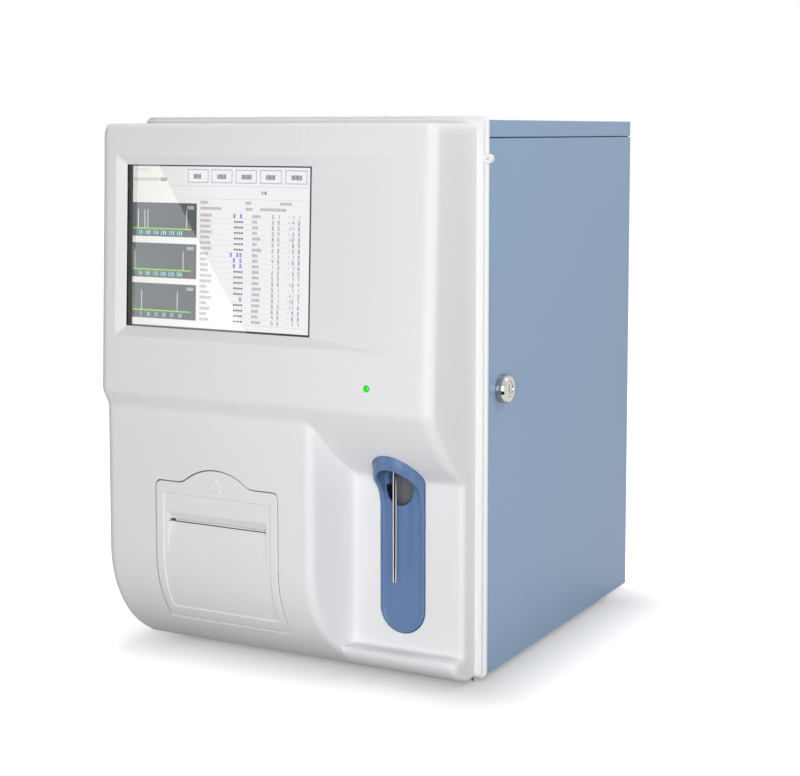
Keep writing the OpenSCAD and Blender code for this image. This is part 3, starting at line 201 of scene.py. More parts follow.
# Nitrile rubber: ground grey-black sleeve
platen_rubber = finish("ground nitrile rubber", "#2A2A2C", 0.65)
dress(["platen_roller"], platen_rubber, 0.2)

# Front moulding
# One large ABS moulding with the screen bezel, the rolled brow, the curved printer housing and the
# sample bay. It is moulded in one shot with spark-eroded texture and hangs on the front frame.
CASE_FRONT = -118.3  # the case's front plane in the shared frame, in millimetres
SHELL_W, SHELL_TOP, SHELL_LOW, RIM_BACK = 149.5, 427.5, 2.5, 7.0  # half width, top, foot, and the skirt's end
WALL, CORNER_TOP, CORNER_LOW = 2.8, 8.0, 4.0
FACE_W, BROW_R = 139.5, 5.0  # half the face's flat width, and the radius of the brow over it
BROW_Z = SHELL_TOP - BROW_R
LEAN = math.tan(math.radians(2.1))
FACE_REACH, ROLL_REACH, ROLL_R, ROLL_Z = 82.4, 72.393, 10.0, 218.0
ROLL_TOP, ROLL_END = 218.37, 213.1  # where the roll leaves the face, and where it meets the ceiling
CEILING_R, CEILING_Z, CEILING_BACK = 158.0, 291.2, 56.2  # the ceiling's arc, with its centre inside the case
HOUSING_R, HOUSING_Z, HOUSING_BACK = 87.0, 86.7, 12.0  # the printer housing's arc and its centre
TAIL_Z, TAIL_SLOPE, TAIL_BEND = 28.7, 0.894, 0.0156  # the parabola under that arc
BAY_X, BAY_BACK, BAY_RUN, BAY_SLOPE = 56.0, 28.0, 12.0, 3.92  # the bay's left wall and its back
BAY_DEEP = HOUSING_R - HOUSING_BACK - BAY_BACK
BAY_ROUND, BAY_COVE = 8.0, 6.0  # radii of that wall's front edge and inner corner
SCREEN_L, SCREEN_R, SCREEN_B, SCREEN_T = -126.0, 44.2, 267.6, 395.3
BEVEL, STEEP_RUN, LONG_RUN = 5.0, 1.5, 14.0  # the recess's depth, and how far its bevels run for each mm of it
BEVEL_W, MITRE = BEVEL * STEEP_RUN, 4.2  # the grid follows the long bevel's mitres for MITRE of the depth
DOOR_L, DOOR_R, DOOR_TOP, DOOR_MID, DOOR_LOW, DOOR_GAP = -99.3, 14.3, 145.6, -43.0, 29.8, 0.8
DOOR_CORNER, BUMP_W, BUMP_H, CROWN = 5.0, 35.0, 12.0, 0.785  # the crown's share of the bump's arcs comes last
KEY_X, KEY_R, KEY_ROUND_Z, HOOD_Y = 98.0, 19.0, 56.0, 36.0
KEY_HOLE = KEY_R + 0.6
SILL_LOW, SILL_Z = 15.5, 24.0
SILL_END, SILL_FADE = 47.0, 5.0  # the wall's reach where the sill has run out, and over how much of it
LIP, LIP_OUT, LIP_UP, COVE = 8.0, 0.51, 0.86, 3.5  # the lip's size and its direction, and the inner corner
SWELL, SWELL_H = 3.2, 16.0  # the bulge under the lip
HOOD_LOW = 162.89  # the ceiling's height at the hood's middle


def ladder(*stops):
    """Grid lines: even steps from stop to stop. Stops alternate a place and the count of steps to the next one."""
    runs = [np.linspace(stops[i], stops[i + 2], stops[i + 1], endpoint=False) for i in range(0, len(stops) - 2, 2)]
    return np.concatenate(runs + [[stops[-1]]])


def smooth_max(a, b, k):
    """The larger of a and b, with a fillet where they lie within k: the mix plus k*h*(1-h), h being the mix share."""
    h = np.clip(0.5 + 0.5 * (a - b) / k, 0, 1)
    return b + (a - b) * h + k * h * (1 - h)


def smooth_min(a, b, k):
    """The smaller of a and b, with a fillet: the negative of the smooth larger of -a and -b."""
    return -smooth_max(-a, -b, k)


def ramp(t):
    """Soft step from 0 to 1: 3t^2 - 2t^3 with t held between 0 and 1."""
    t = np.clip(t, 0, 1)
    return t * t * (3 - 2 * t)


def hinge(u, slope, radius):
    """Flat for u below 0 and then a straight slope, joined by an arc: radius minus the arc's half chord."""
    turn = math.atan(slope)
    lead = radius * math.tan(turn / 2)
    arc = radius - np.sqrt(np.maximum(radius**2 - (u + lead) ** 2, 0))
    return np.where(u < -lead, 0, np.where(u < lead * math.cos(turn), arc, slope * u))


def upper_reach(z):
    """Reach of the upper block: the leaning face, a small roll under it, then the ceiling's large arc."""
    face = FACE_REACH - (z - ROLL_Z) * LEAN
    roll = ROLL_REACH + np.sqrt(np.maximum(ROLL_R**2 - (z - ROLL_Z) ** 2, 0))
    ceiling = np.sqrt(np.maximum(CEILING_R**2 - (CEILING_Z - z) ** 2, 0)) - CEILING_BACK
    return np.where(z > ROLL_TOP, face, np.where(z > ROLL_END, roll, ceiling))


def lower_reach(z):
    """Reach of the printer housing: upright, then an arc under its centre's height, and at the tail a parabola
    that carries on from the arc's slope and bends less."""
    arc = np.sqrt(np.maximum(HOUSING_R**2 - np.clip(HOUSING_Z - z, 0, HOUSING_Z - TAIL_Z) ** 2, 0)) - HOUSING_BACK
    below = np.clip(TAIL_Z - z, 0, None)
    return arc - TAIL_SLOPE * below - TAIL_BEND * below**2


def bay_wall(x, z):
    """Reach beside the bay: the housing's face, a wall that runs in by BAY_RUN over the bay's depth, and the back."""
    low = lower_reach(z)
    edge = BAY_X - (low - BAY_BACK) * BAY_RUN / BAY_DEEP
    front, back = low - hinge(x - edge, BAY_SLOPE, BAY_ROUND), BAY_BACK + hinge(BAY_X - x, BAY_SLOPE, BAY_COVE)
    return np.where(x < (edge + BAY_X) / 2, front, back)


def front_reach(x, z):
    """How far the front stands before the case: the larger of the housing with its bay and of the upper block,
    less the screen's bevelled recess. The join is crisp on the housing and filleted in the bay."""
    crisp, filleted, join_x, join_w = 1.6, 6.0, 40.0, 18.0
    join = crisp + (filleted - crisp) * ramp((x - join_x) / join_w)
    reach = smooth_max(bay_wall(x, z), upper_reach(z), join)
    mitre, brim = 0.1, 0.25
    across = smooth_min((x - SCREEN_L) / STEEP_RUN + BEVEL, (SCREEN_R - x) / LONG_RUN + BEVEL, mitre)
    upright = smooth_min((SCREEN_T - z) / STEEP_RUN + BEVEL, (z - SCREEN_B) / STEEP_RUN + BEVEL, mitre)
    return reach - smooth_max(np.minimum(smooth_min(across, upright, mitre), BEVEL), 0.0, brim)


def door_top_line(x, gap):
    """Upper outline of the printer door: level, with rounded corners and a bump of a crown arc and two flares."""
    span = (BUMP_W**2 + BUMP_H**2) / (2 * BUMP_H)
    crown_r, flare_r = span * CROWN, span * (1 - CROWN)
    off = np.abs(x - DOOR_MID)
    crown = DOOR_TOP + BUMP_H - crown_r + np.sqrt(np.maximum((crown_r + gap) ** 2 - off**2, 0))
    flare = DOOR_TOP + flare_r - np.sqrt(np.maximum((flare_r - gap) ** 2 - (BUMP_W - off) ** 2, 0))
    line = np.where(off < BUMP_W * (crown_r + gap) / span, crown, np.where(off < BUMP_W, flare, DOOR_TOP + gap))
    inset = np.minimum(np.minimum(x - DOOR_L, DOOR_R - x) + gap, DOOR_CORNER)
    return line - DOOR_CORNER + np.sqrt(np.maximum(DOOR_CORNER**2 - (DOOR_CORNER - inset) ** 2, 0))


def to_row(x, y, z):
    """Case millimetres to the shared frame's metres, as an array of points."""
    return np.stack(np.broadcast_arrays(x, y + CASE_FRONT, z), axis=-1).reshape(-1, 3) / 1000


def grid_faces(rows, columns, keep=None):
    """Quads of a grid whose rows run up and columns run right, all of them or those that keep marks."""
    corner = np.arange(rows * columns).reshape(rows, columns)
    quads = np.stack([corner[:-1, :-1], corner[:-1, 1:], corner[1:, 1:], corner[1:, :-1]], axis=-1)
    return quads[keep] if keep is not None else quads.reshape(-1, 4)


def piece_from(name, points, faces, material, body, nodes, wall_mm=0, crease=40):
    """Makes one piece from points and quads, smooth apart from open edges and creases, and mounts it on its body."""
    used, index = np.unique(faces, return_inverse=True)
    mesh = bpy.data.meshes.new(name)
    mesh.from_pydata(points[used].tolist(), [], index.reshape(faces.shape).tolist())
    mesh.polygons.foreach_set("use_smooth", np.ones(len(mesh.polygons), bool))
    mesh.set_sharp_from_angle(angle=math.radians(crease))
    edge_of_corner = np.empty(len(mesh.loops), np.int32)
    mesh.loops.foreach_get("edge_index", edge_of_corner)
    if "sharp_edge" not in mesh.attributes:
        mesh.attributes.new("sharp_edge", "BOOLEAN", "EDGE")
    sharp = np.empty(len(mesh.edges), bool)
    mesh.attributes["sharp_edge"].data.foreach_get("value", sharp)
    open_edge = np.bincount(edge_of_corner, minlength=len(mesh.edges)) == 1
    mesh.attributes["sharp_edge"].data.foreach_set("value", sharp | open_edge)
    mesh.materials.append(material)
    piece = bpy.data.objects.new(name, mesh)
    bpy.context.scene.collection.objects.link(piece)
    if wall_mm:
        wall = piece.modifiers.new("Wall", "SOLIDIFY")
        wall.thickness = wall_mm / 1000
        wall.offset = -1
    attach(piece, body)
    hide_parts(*nodes)
    return piece


UNDER_STEPS, SILL_STEPS = 8, 20
DOOR_ROW, DOOR_FADE, HOOD_FADE = 140.1, 192.0, 206.0  # rows that are drawn up, and where the draw has faded out
columns = ladder(
    -FACE_W, 2, SCREEN_L - BEVEL_W, 5, SCREEN_L, 5, DOOR_L - DOOR_GAP, 6, DOOR_L + DOOR_CORNER, 4,
    DOOR_MID - BUMP_W - 1, 40, DOOR_MID + BUMP_W + 1, 4, DOOR_R - DOOR_CORNER, 6, DOOR_R + DOOR_GAP, 4, 34, 8,
    SCREEN_R, 20, BAY_X + 4, 5, KEY_X - KEY_HOLE, 22, KEY_X + KEY_HOLE, 5, FACE_W,
)
in_key = np.abs(columns - KEY_X) < KEY_HOLE
columns[in_key] = KEY_X + KEY_HOLE * np.sin((columns[in_key] - KEY_X) / KEY_HOLE * math.pi / 2)
rows = ladder(
    SHELL_LOW, UNDER_STEPS, SILL_LOW, SILL_STEPS, DOOR_LOW, 6, KEY_ROUND_Z, 6, HOUSING_Z, 7, DOOR_ROW, 4, 150, 10,
    HOOD_LOW, 12, DOOR_FADE, 14, HOOD_FADE, 16, 222, 8, SCREEN_B - BEVEL_W, 5, SCREEN_B, 10, SCREEN_T, 5,
    SCREEN_T + BEVEL_W, 4, BROW_Z,
)
under_rows = slice(0, UNDER_STEPS)
sill_rows = slice(UNDER_STEPS, UNDER_STEPS + SILL_STEPS + 1)
X, base_z = np.meshgrid(columns, rows)
Z = base_z.copy()
# Hole edges lie on grid lines: rows are drawn to the door's outline, the key's round end and the hood's arc
over_door = (X >= DOOR_L - DOOR_GAP) & (X <= DOOR_R + DOOR_GAP)
lift = np.where(over_door, door_top_line(X, DOOR_GAP) - DOOR_ROW, 0)
Z += lift * np.clip((DOOR_FADE - base_z) / (DOOR_FADE - DOOR_ROW), 0, 1) * (base_z >= DOOR_ROW - 0.1)
bow = np.sqrt(np.maximum(KEY_HOLE**2 - (X - KEY_X) ** 2, 0))
Z -= bow * np.clip((base_z - DOOR_LOW) / (KEY_ROUND_Z - DOOR_LOW), 0, 1) * (base_z <= KEY_ROUND_Z)
rise = np.where(bow > 0, CEILING_Z - np.sqrt(CEILING_R**2 - (HOOD_Y + bow + CEILING_BACK) ** 2) - HOOD_LOW, 0)
Z += rise * np.clip((HOOD_FADE - base_z) / (HOOD_FADE - HOOD_LOW), 0, 1) * (base_z >= HOOD_LOW - 0.1)
# The rows beside the screen follow the mitres of the long bevel
mitre = np.interp(base_z, [SCREEN_B - BEVEL_W, SCREEN_B, SCREEN_T, SCREEN_T + BEVEL_W], [0, -1, 1, 0])
Z += STEEP_RUN * MITRE * np.clip((X - SCREEN_R) / (LONG_RUN * MITRE), 0, 1) * mitre
reach = front_reach(X, Z)


def lip_reach(z):
    """Reach of the front under the sill: the housing's underside with a swell, a parabola from foot to SWELL_H."""
    t = np.clip((z - SHELL_LOW) / SWELL_H, 0, 1)
    return lower_reach(z) + 4 * SWELL * t * (1 - t)


def sill(wall):
    """Section of the bay's sill before a back wall at reach wall: up the swollen underside, round the lip and the
    inner corner in parabolas of three points, and level between them. Gives reach and height."""
    shallow = 10.0
    tip = lip_reach(SILL_Z - LIP_UP * LIP) + LIP_OUT * LIP
    short = np.minimum((tip - wall) / shallow, 1)
    lip, cove = LIP * short, COVE * short
    a, b, c, d, e = (np.linspace(0, 1, n)[: n - last, None] for n, last in ((5, 1), (7, 1), (4, 1), (6, 1), (3, 0)))
    under = SILL_LOW + (SILL_Z - LIP_UP * lip - SILL_LOW) * a
    far = [
        lip_reach(under), tip - LIP_OUT * lip * (1 - b) ** 2 - lip * b**2,
        (tip - lip) * (1 - c) + (wall + cove) * c, wall + cove * (1 - d) ** 2, wall + 0 * e,
    ]
    high = [
        under, SILL_Z - LIP_UP * lip * (1 - b) ** 2, SILL_Z + 0 * c * lip, SILL_Z + cove * d**2,
        SILL_Z + cove + (DOOR_LOW - SILL_Z - cove) * e,
    ]
    return np.concatenate([np.broadcast_to(f, (len(f), wall.size)) for f in far]), np.concatenate(high)


wall_line = bay_wall(columns, DOOR_LOW)
bay = np.clip((SILL_END - wall_line) / SILL_FADE, 0, 1)
sill_reach, sill_z = sill(np.minimum(wall_line, SILL_END))
reach[under_rows] += bay * (lip_reach(Z[under_rows]) - reach[under_rows])
reach[sill_rows] += bay * (sill_reach - reach[sill_rows])
Z[sill_rows] += bay * (sill_z - Z[sill_rows])
# Around the face an arc turns back to a skirt that ends at the rim, with a small radius beside the bay
turn = np.linspace(0, math.pi / 2, 9)[1:]
skirt = np.array([0.5, 1.0])


def side_band(side):
    """Columns beyond the face on one side: each row turns through a quarter ellipse to a point further out and set
    back by r, and at the sill set down as well, then runs straight back."""
    start, z = (reach[:, -1:], Z[:, -1:]) if side > 0 else (reach[:, :1], Z[:, :1])
    small_r, large_r = 5.0, 9.0
    r = np.minimum(small_r + (large_r - small_r) * ramp((start - 30) / 35), (start - RIM_BACK) * 0.7)
    drop = np.zeros_like(z)
    if side > 0:
        end_row, end_z = [0, 4, 10, 13, 18, SILL_STEPS], [SILL_LOW, 17.4, 19.6, 21.0, 24.5, DOOR_LOW]
        drop[sill_rows] = z[sill_rows] - np.interp(np.arange(SILL_STEPS + 1), end_row, end_z)[:, None]
    x = np.concatenate([side * (SHELL_W - r * (1 - np.sin(turn))), np.full((len(z), 2), side * SHELL_W)], axis=1)
    arc = start - r * (1 - np.cos(turn))
    arc_z = z - drop * (1 - np.cos(turn))
    back = arc[:, -1:] * (1 - skirt) + RIM_BACK * skirt
    return (np.concatenate([side * (SHELL_W - r), x], 1), np.concatenate([start, arc, back], 1),
            np.concatenate([z, arc_z, np.repeat(arc_z[:, -1:], 2, 1)], 1))


right, left = side_band(1), side_band(-1)
X = np.concatenate([left[0][:, ::-1], X, right[0]], 1)
reach = np.concatenate([left[1][:, ::-1], reach, right[1]], 1)
Z = np.concatenate([left[2][:, ::-1], Z, right[2]], 1)
# The brow turns back to the top the same way, and the underside runs back level
brow = np.linspace(0, math.pi / 2, 7)[1:, None]
top_reach = np.maximum(reach[-1] - BROW_R * (1 - np.cos(brow)), RIM_BACK)
shrink = np.array([[0.25], [0.6], [1.0]])
top_back = top_reach[-1] * (1 - shrink) + RIM_BACK * shrink
low_back = reach[0] * (1 - skirt[::-1, None]) + RIM_BACK * skirt[::-1, None]
side_n, low_n, top_n = right[0].shape[1], len(low_back), len(top_reach) + len(top_back)
X = np.concatenate([np.repeat(X[:1], low_n, 0), X, np.repeat(X[-1:], top_n, 0)])
Z = np.concatenate([
    np.full_like(low_back, SHELL_LOW), Z, np.full_like(top_reach, BROW_Z) + BROW_R * np.sin(brow),
    np.full_like(top_back, SHELL_TOP),
])
reach = np.concatenate([low_back, reach, top_reach, top_back])
# Corners seen from the front: the square corner is drawn in to a quarter circle, larger above than below
upper = Z > (SHELL_TOP + SHELL_LOW) / 2
corner = np.where(upper, CORNER_TOP, CORNER_LOW)
u = np.clip((np.abs(X) - SHELL_W) / corner + 1, 0, 1)
v = np.clip(np.maximum(Z - SHELL_TOP, SHELL_LOW - Z) / corner + 1, 0, 1)
pull = np.maximum(u, v) / np.maximum(np.hypot(u, v), 1e-9)
pull = np.where((u > 0) & (v > 0), pull, 1)
X = np.where(u > 0, np.sign(X) * (SHELL_W - corner + corner * u * pull), X)
drawn_z = np.where(upper, SHELL_TOP - corner + corner * v * pull, SHELL_LOW + corner - corner * v * pull)
Z = np.where(v > 0, drawn_z, Z)
no_hole = 999.0
cell_x = np.concatenate([np.full(side_n, -no_hole), (columns[:-1] + columns[1:]) / 2, np.full(side_n, no_hole)])
cell_z = np.concatenate([np.full(low_n, -no_hole), (rows[:-1] + rows[1:]) / 2, np.full(top_n, no_hole)])


def hole(x0, x1, z0, z1):
    """Grid cells between two columns and two rows."""
    return ((cell_x > x0) & (cell_x < x1))[None] & ((cell_z > z0) & (cell_z < z1))[:, None]


keep = ~(
    hole(SCREEN_L, SCREEN_R, SCREEN_B, SCREEN_T)
    | hole(DOOR_L - DOOR_GAP, DOOR_R + DOOR_GAP, DOOR_LOW, DOOR_ROW)
    | hole(KEY_X - KEY_HOLE, KEY_X + KEY_HOLE, KEY_ROUND_Z, HOOD_LOW)
)
# Moulded ABS: cool white, satin, with a fine spark-eroded grain
white_abs = grain(finish("moulded ABS, white", "#E7E7E9", 0.55, Specular_IOR_Level=0.2), 0.9, 0.008)
moulding = piece_from(
    "front_moulding", to_row(X, -reach, Z), grid_faces(*X.shape, keep), white_abs, "analyser",
    ["front_panel"], wall_mm=WALL, crease=28,
)
# The wall thins to a lip around the glass
place = np.empty(len(moulding.data.vertices) * 3)
moulding.data.vertices.foreach_get("co", place)
off_x = np.abs(place[0::3] * 1000 - (SCREEN_L + SCREEN_R) / 2) - (SCREEN_R - SCREEN_L) / 2
off_z = np.abs(place[2::3] * 1000 - (SCREEN_B + SCREEN_T) / 2) - (SCREEN_T - SCREEN_B) / 2
off_glass = np.maximum(off_x, off_z)
full_wall = moulding.vertex_groups.new(name="full_wall")
full_wall.add(np.flatnonzero(off_glass > 1).tolist(), 1.0, "REPLACE")
moulding.modifiers["Wall"].vertex_group = "full_wall"
moulding.modifiers["Wall"].thickness_vertex_group = 0.1

# Rim of the moulding
# The same ABS shot: two rounded beads run round the open back, where the moulding laps the painted
# case, with a screw lug on each side.
RIM_W, RIM_LOW, RIM_HIGH, RIM_CORNER = 157.3, 2.2, 433.0, 5.0
BEAD_W, BEAD_STEP, RIM_INSIDE, RIM_FRONT = 3.7, 2.2, 8.6, 5.5
LUG_X, LUG_Z = 157.9, 401.0


def rounded_loop(inset, y):
    """Loops round the case: a rectangle drawn in by each inset, its corners arcs whose radius shrinks by the inset."""
    least_r = 0.4
    r = np.maximum(RIM_CORNER - inset, least_r)[:, None, None]
    quarter = np.linspace(0, math.pi / 2, 6)[None, None]
    start = np.array([0, 0.5, 1.0, 1.5])[None, :, None] * math.pi
    sx = np.array([1, -1, -1, 1])[None, :, None]
    sz = np.array([1, 1, -1, -1])[None, :, None]
    half_h, mid_h = (RIM_HIGH - RIM_LOW) / 2, (RIM_HIGH + RIM_LOW) / 2
    i = inset[:, None, None]
    x = sx * (RIM_W - i - r) + r * np.cos(start + quarter)
    z = mid_h + sz * (half_h - i - r) + r * np.sin(start + quarter)
    x, z = x.reshape(len(inset), -1), z.reshape(len(inset), -1)
    return x, np.broadcast_to(y[:, None], x.shape), z


def bead(inset, y0, y1, bulge):
    """Profile of one bead: half an ellipse from y0 to y1 that stands out by bulge."""
    t = np.linspace(0, math.pi, 9)
    return inset + bulge * (1 - np.sin(t)), (y0 + y1) / 2 + (y0 - y1) / 2 * np.cos(t)


def ring_faces(rings, points):
    """Quads between closed rings, each of the same count of points."""
    ring = np.arange(rings * points).reshape(rings, points)
    ring = np.concatenate([ring, ring[:, :1]], 1)
    return np.stack([ring[:-1, :-1], ring[1:, :-1], ring[1:, 1:], ring[:-1, 1:]], -1).reshape(-1, 4)


outer, inner = bead(0.0, 0.0, -BEAD_W, 1.4), bead(BEAD_STEP, -BEAD_W, -2 * BEAD_W, 1.6)
inset = np.concatenate([[RIM_INSIDE], outer[0], inner[0], [RIM_FRONT, RIM_INSIDE, RIM_INSIDE]])
depth = np.concatenate([[0.0], outer[1], inner[1], [-2 * BEAD_W, -2 * BEAD_W, 0.0]])
rim_x, rim_y, rim_z = rounded_loop(inset, depth)
piece_from(
    "moulding_rim", to_row(rim_x, rim_y, rim_z), ring_faces(*rim_x.shape), white_abs, "analyser",
    ["front_panel"],
)
# Each lug is a turned pad with a round edge and a blind screw hole
lug_r = np.array([0.02, 1.23, 1.23, 1.6, 2.9, 3.45, 3.7, 3.7, 0.02])[:, None]
lug_y = np.array([-3.7, -3.7, -6.1, -6.4, -6.4, -6.1, -5.5, -1.5, -1.5])[:, None]
around = np.linspace(0, 2 * math.pi, 28, endpoint=False)
for side, lug_name in ((-1, "rim_lug_left"), (1, "rim_lug_right")):
    lug = to_row(side * LUG_X + lug_r * np.cos(around), lug_y + 0 * around, LUG_Z + lug_r * np.sin(around))
    piece_from(
        lug_name, lug, ring_faces(len(lug_r), len(around))[:, ::-1], white_abs, "analyser",
        ["front_panel"],
    )

# Display
# A colour panel in a folded tray, behind a resistive touch glass that is taped to the moulding.
# The lit picture is drawn on the panel's front: a tool bar, three curve panels and a table.
dress(["lcd_module", "lcd_bracket"], zinc, 0.3)
PICTURE_DEPTH = 8.8  # below the face, just in front of the panel
PICTURE_L, PICTURE_R, PICTURE_B, PICTURE_T = SCREEN_L + 3.6, SCREEN_R - 3.0, SCREEN_B + 1.2, SCREEN_T - 1.2


def on_screen(u, v, layer):
    """Place on the leaning panel: u runs right and v runs down from 0 to 1, and each layer lies a little nearer."""
    layer_mm = 0.04
    z = PICTURE_T - v * (PICTURE_T - PICTURE_B)
    y = PICTURE_DEPTH - layer_mm * layer - FACE_REACH + (z - ROLL_Z) * LEAN
    return to_row(PICTURE_L + u * (PICTURE_R - PICTURE_L), y, z)


def bars(u0, v0, u1, v1, ink, ink_right=None):
    """Plain bars as rows of left, top, right, bottom and two colours, one for the left end and one for the right."""
    edges = np.stack(np.broadcast_arrays(u0, v0, u1, v1), -1).reshape(-1, 4).astype(float)
    inks = np.concatenate([linear(ink)[:3], linear(ink_right or ink)[:3]])
    return np.concatenate([edges, np.tile(inks, (len(edges), 1))], 1)


def digits(u, v, values, ink, high=0.021, wide=0.0105, line=0.0022):
    """Plain numbers as seven-segment figures: each figure keeps those of its seven bars that its bit pattern sets."""
    text = np.array([list(str(value).rjust(4)) for value in np.ravel(values)])
    pattern = dict(zip("0123456789. ", (119, 36, 93, 109, 46, 107, 123, 37, 127, 111, 0, 0)))
    bits = np.vectorize(pattern.get)(text)
    row, place, seg = np.nonzero(bits[..., None] >> np.arange(7) & 1)
    left = np.array([0, 0, 1, 0, 0, 1, 0])[seg] * (wide - 2.2 * line)
    top = np.array([0, 0, 0, 0.5, 0.5, 0.5, 1])[seg] * (high - line)
    flat = np.isin(seg, [0, 3, 6])
    x = np.ravel(u)[row] + place * wide * 1.25 + left
    y = np.ravel(v)[row] + top
    return bars(x, y, x + np.where(flat, wide - line, line * 1.2), y + np.where(flat, line * 1.4, high / 2), ink)


def marks(u, v, counts, ink, high=0.018, pitch=0.0066, line=0.0036):
    """Stand-in for a label: a row of short upright bars, as many as counts says."""
    u, v, counts = (np.ravel(a) for a in np.broadcast_arrays(u, v, counts))
    row, place = np.nonzero(np.arange(counts.max()) < counts[:, None])
    x = u[row] + pitch * place
    return bars(x, v[row], x + line, v[row] + high, ink)


# Places in the picture are shares of its width and height
TABLE_ROWS = 20
rng = np.random.default_rng(7)
table_v = 0.287 + 0.0339 * np.arange(TABLE_ROWS)
label_n, unit_n = rng.integers(6, 11, TABLE_ROWS), rng.integers(3, 9, TABLE_ROWS)
low_end = rng.integers(10, 99, TABLE_ROWS)
high_end = (low_end * 1.4).astype(int)
button_u = np.array([0.322, 0.457, 0.593, 0.729, 0.867])
panel_v = np.array([0.228, 0.482, 0.735])
panel_b = np.array([0.440, 0.698, 0.955])
peak_u = np.array([[0.032, 0.07, 0.088, 0.315], [0.013, 0.013, 0.297, 0.297], [0.055, 0.055, 0.265, 0.265]])
tick_u = 0.035 + 0.047 * np.arange(6)
tick_n = np.outer([50, 50, 5], np.arange(1, 7))
blue = np.isin(np.arange(TABLE_ROWS), [0, 7, 8, 9, 15])
dots_u = 0.588 + 0.0135 * np.arange(4)
layers = [
    # The dark edge of the panel, then the page, which is warmer at its left
    bars(-0.05, -0.05, 1.05, 1.05, "#101116"),
    np.concatenate([bars(0.0, 0.0, 0.5, 1.0, "#E6E5DE", "#FDFDFD"), bars(0.5, 0.0, 1.0, 1.0, "#FDFDFD")]),
    # Rules, curve panels, button edges and two small signs
    np.concatenate([
        bars(0.0, 0.118, 1.0, 0.1205, "#CFCDE2"),
        bars(0.24, 0.196, 1.0, 0.198, "#D6D5E4"),
        bars(0.39, table_v[1:] - 0.0075, 0.985, table_v[1:] - 0.0062, "#D9D8E8"),
        bars(0.39, 0.964, 0.985, 0.966, "#D9D8E8"),
        # The curve panels are dark grey, lighter at their left as a painted sheen of the glare that also falls there
        bars(0.0, panel_v, 0.375, panel_b, "#4B585D", "#3C494F"),
        bars(button_u, 0.016, button_u + 0.118, 0.1, "#C7B3DF"),
        bars(0.738, 0.146, 0.748, 0.166, "#D9A441"),
        bars(0.754, 0.146, 0.766, 0.166, "#5F8FE0"),
    ]),
    # Button faces, labels, the curves with their scales, and the table
    np.concatenate([
        bars(button_u + 0.004, 0.022, button_u + 0.114, 0.094, "#FDFDFF"),
        # The two label rows at the top left are inked pale as painted glare that washes them out; the figures to their
        # right keep the text's real dark ink
        marks(0.012, 0.014, 13, "#CFCEC6"),
        marks(0.006, 0.072, 23, "#A9A8A6", 0.02),
        marks(0.163, 0.07, 5, "#3A3A40", 0.024, 0.0078, 0.005),
        bars(0.004, panel_b - 0.053, 0.345, panel_b - 0.046, "#A5E038"),
        bars(0.002, panel_v[1:] + 0.02, 0.0045, panel_b[1:] - 0.047, "#9CCB3C"),
        bars(peak_u, panel_v[:, None] + 0.045, peak_u + 0.004, panel_b[:, None] - 0.052, "#E8E4DC"),
        digits(tick_u[None] - 0.02 + 0 * panel_b[:, None], panel_b[:, None] - 0.037 + 0 * tick_u, tick_n,
               "#8FE3E6", 0.024, 0.0095, 0.003),
        marks(0.322, panel_v + 0.016, 6, "#D5D9D8", 0.022),
        marks([[0.397, 0.652, 0.84], [0.397, 0.652, 0.732]], [[0.21], [0.247]], [[7, 5, 10], [18, 6, 22]], "#8F8E96"),
        marks(0.397, table_v + 0.002, label_n, "#8E8D95"),
        marks(0.69, table_v + 0.003, unit_n, "#8583A4"),
        bars(0.885, table_v + 0.011, 0.896, table_v + 0.014, "#A09EB4"),
        digits(np.full(TABLE_ROWS, 0.782), table_v, low_end / 10, "#8380A8", 0.023, 0.0125, 0.0027),
        digits(np.full(TABLE_ROWS, 0.893), table_v, high_end / 10, "#8380A8", 0.023, 0.0125, 0.0027),
        digits(np.full(5, 0.566), table_v[blue], np.array(["0.0", "0.00", "0.0", "0.0", "0"]), "#3F55E8",
               0.023, 0.0145, 0.0036),
    ]),
    # Bars that stand for the words on the buttons, and rows of dots where the table has no value
    np.concatenate([
        marks(button_u + 0.034, 0.046, np.array([6, 7, 8, 7, 8]), "#1D1C46", 0.029, 0.0072, 0.0046),
        bars(dots_u, table_v[~blue][:, None] + 0.008, dots_u + 0.009, table_v[~blue][:, None] + 0.019, "#14123C"),
    ]),
]
ink_rows = np.concatenate(layers)
layer_of = np.repeat(np.arange(len(layers)), [len(layer) for layer in layers])
picture_points = on_screen(ink_rows[:, [0, 2, 2, 0]], ink_rows[:, [3, 3, 1, 1]], layer_of[:, None])
picture_faces = np.arange(len(picture_points)).reshape(-1, 4)
# Lit liquid crystal: the picture's own colours glow, held in the mesh as a colour of each bar
lit_panel = finish("lit liquid crystal", "#0A0A0C", 0.5, Emission_Strength=0.86)
tree = lit_panel.node_tree
ink = add_node(tree, "ShaderNodeVertexColor", {"layer_name": "ink"})
tree.links.new(ink.outputs["Color"], tree.nodes["Principled BSDF"].inputs["Emission Color"])
picture = piece_from("screen_picture", picture_points, picture_faces, lit_panel, "analyser", [])
corner_inks = np.stack([ink_rows[:, 4:7], ink_rows[:, 7:], ink_rows[:, 7:], ink_rows[:, 4:7]], 1).reshape(-1, 3)
inks = np.concatenate([corner_inks, np.ones((len(picture_points), 1))], 1)
picture.data.attributes.new("ink", "FLOAT_COLOR", "POINT").data.foreach_set("color", inks.ravel())

# Touch glass: clear float glass with a hard gloss
touch_glass = finish("float glass, clear", "#FFFFFF", 0.0, IOR=1.5, Transmission_Weight=1.0)
dress(["touch_glass"], touch_glass, 0.2)

# Status lamp
# The light emitting diode that shows the analyser's state. Its lens is cast in green epoxy, and the
# dome stands through a hole in the moulding.

# Epoxy lens: green, clear and lit from inside
lamp_lens = finish("cast epoxy lens, green", "#12B81A", 0.15, Emission_Color=linear("#19C81E"), Emission_Strength=0.35)
dress(["status_lamp"], lamp_lens, 0.1)

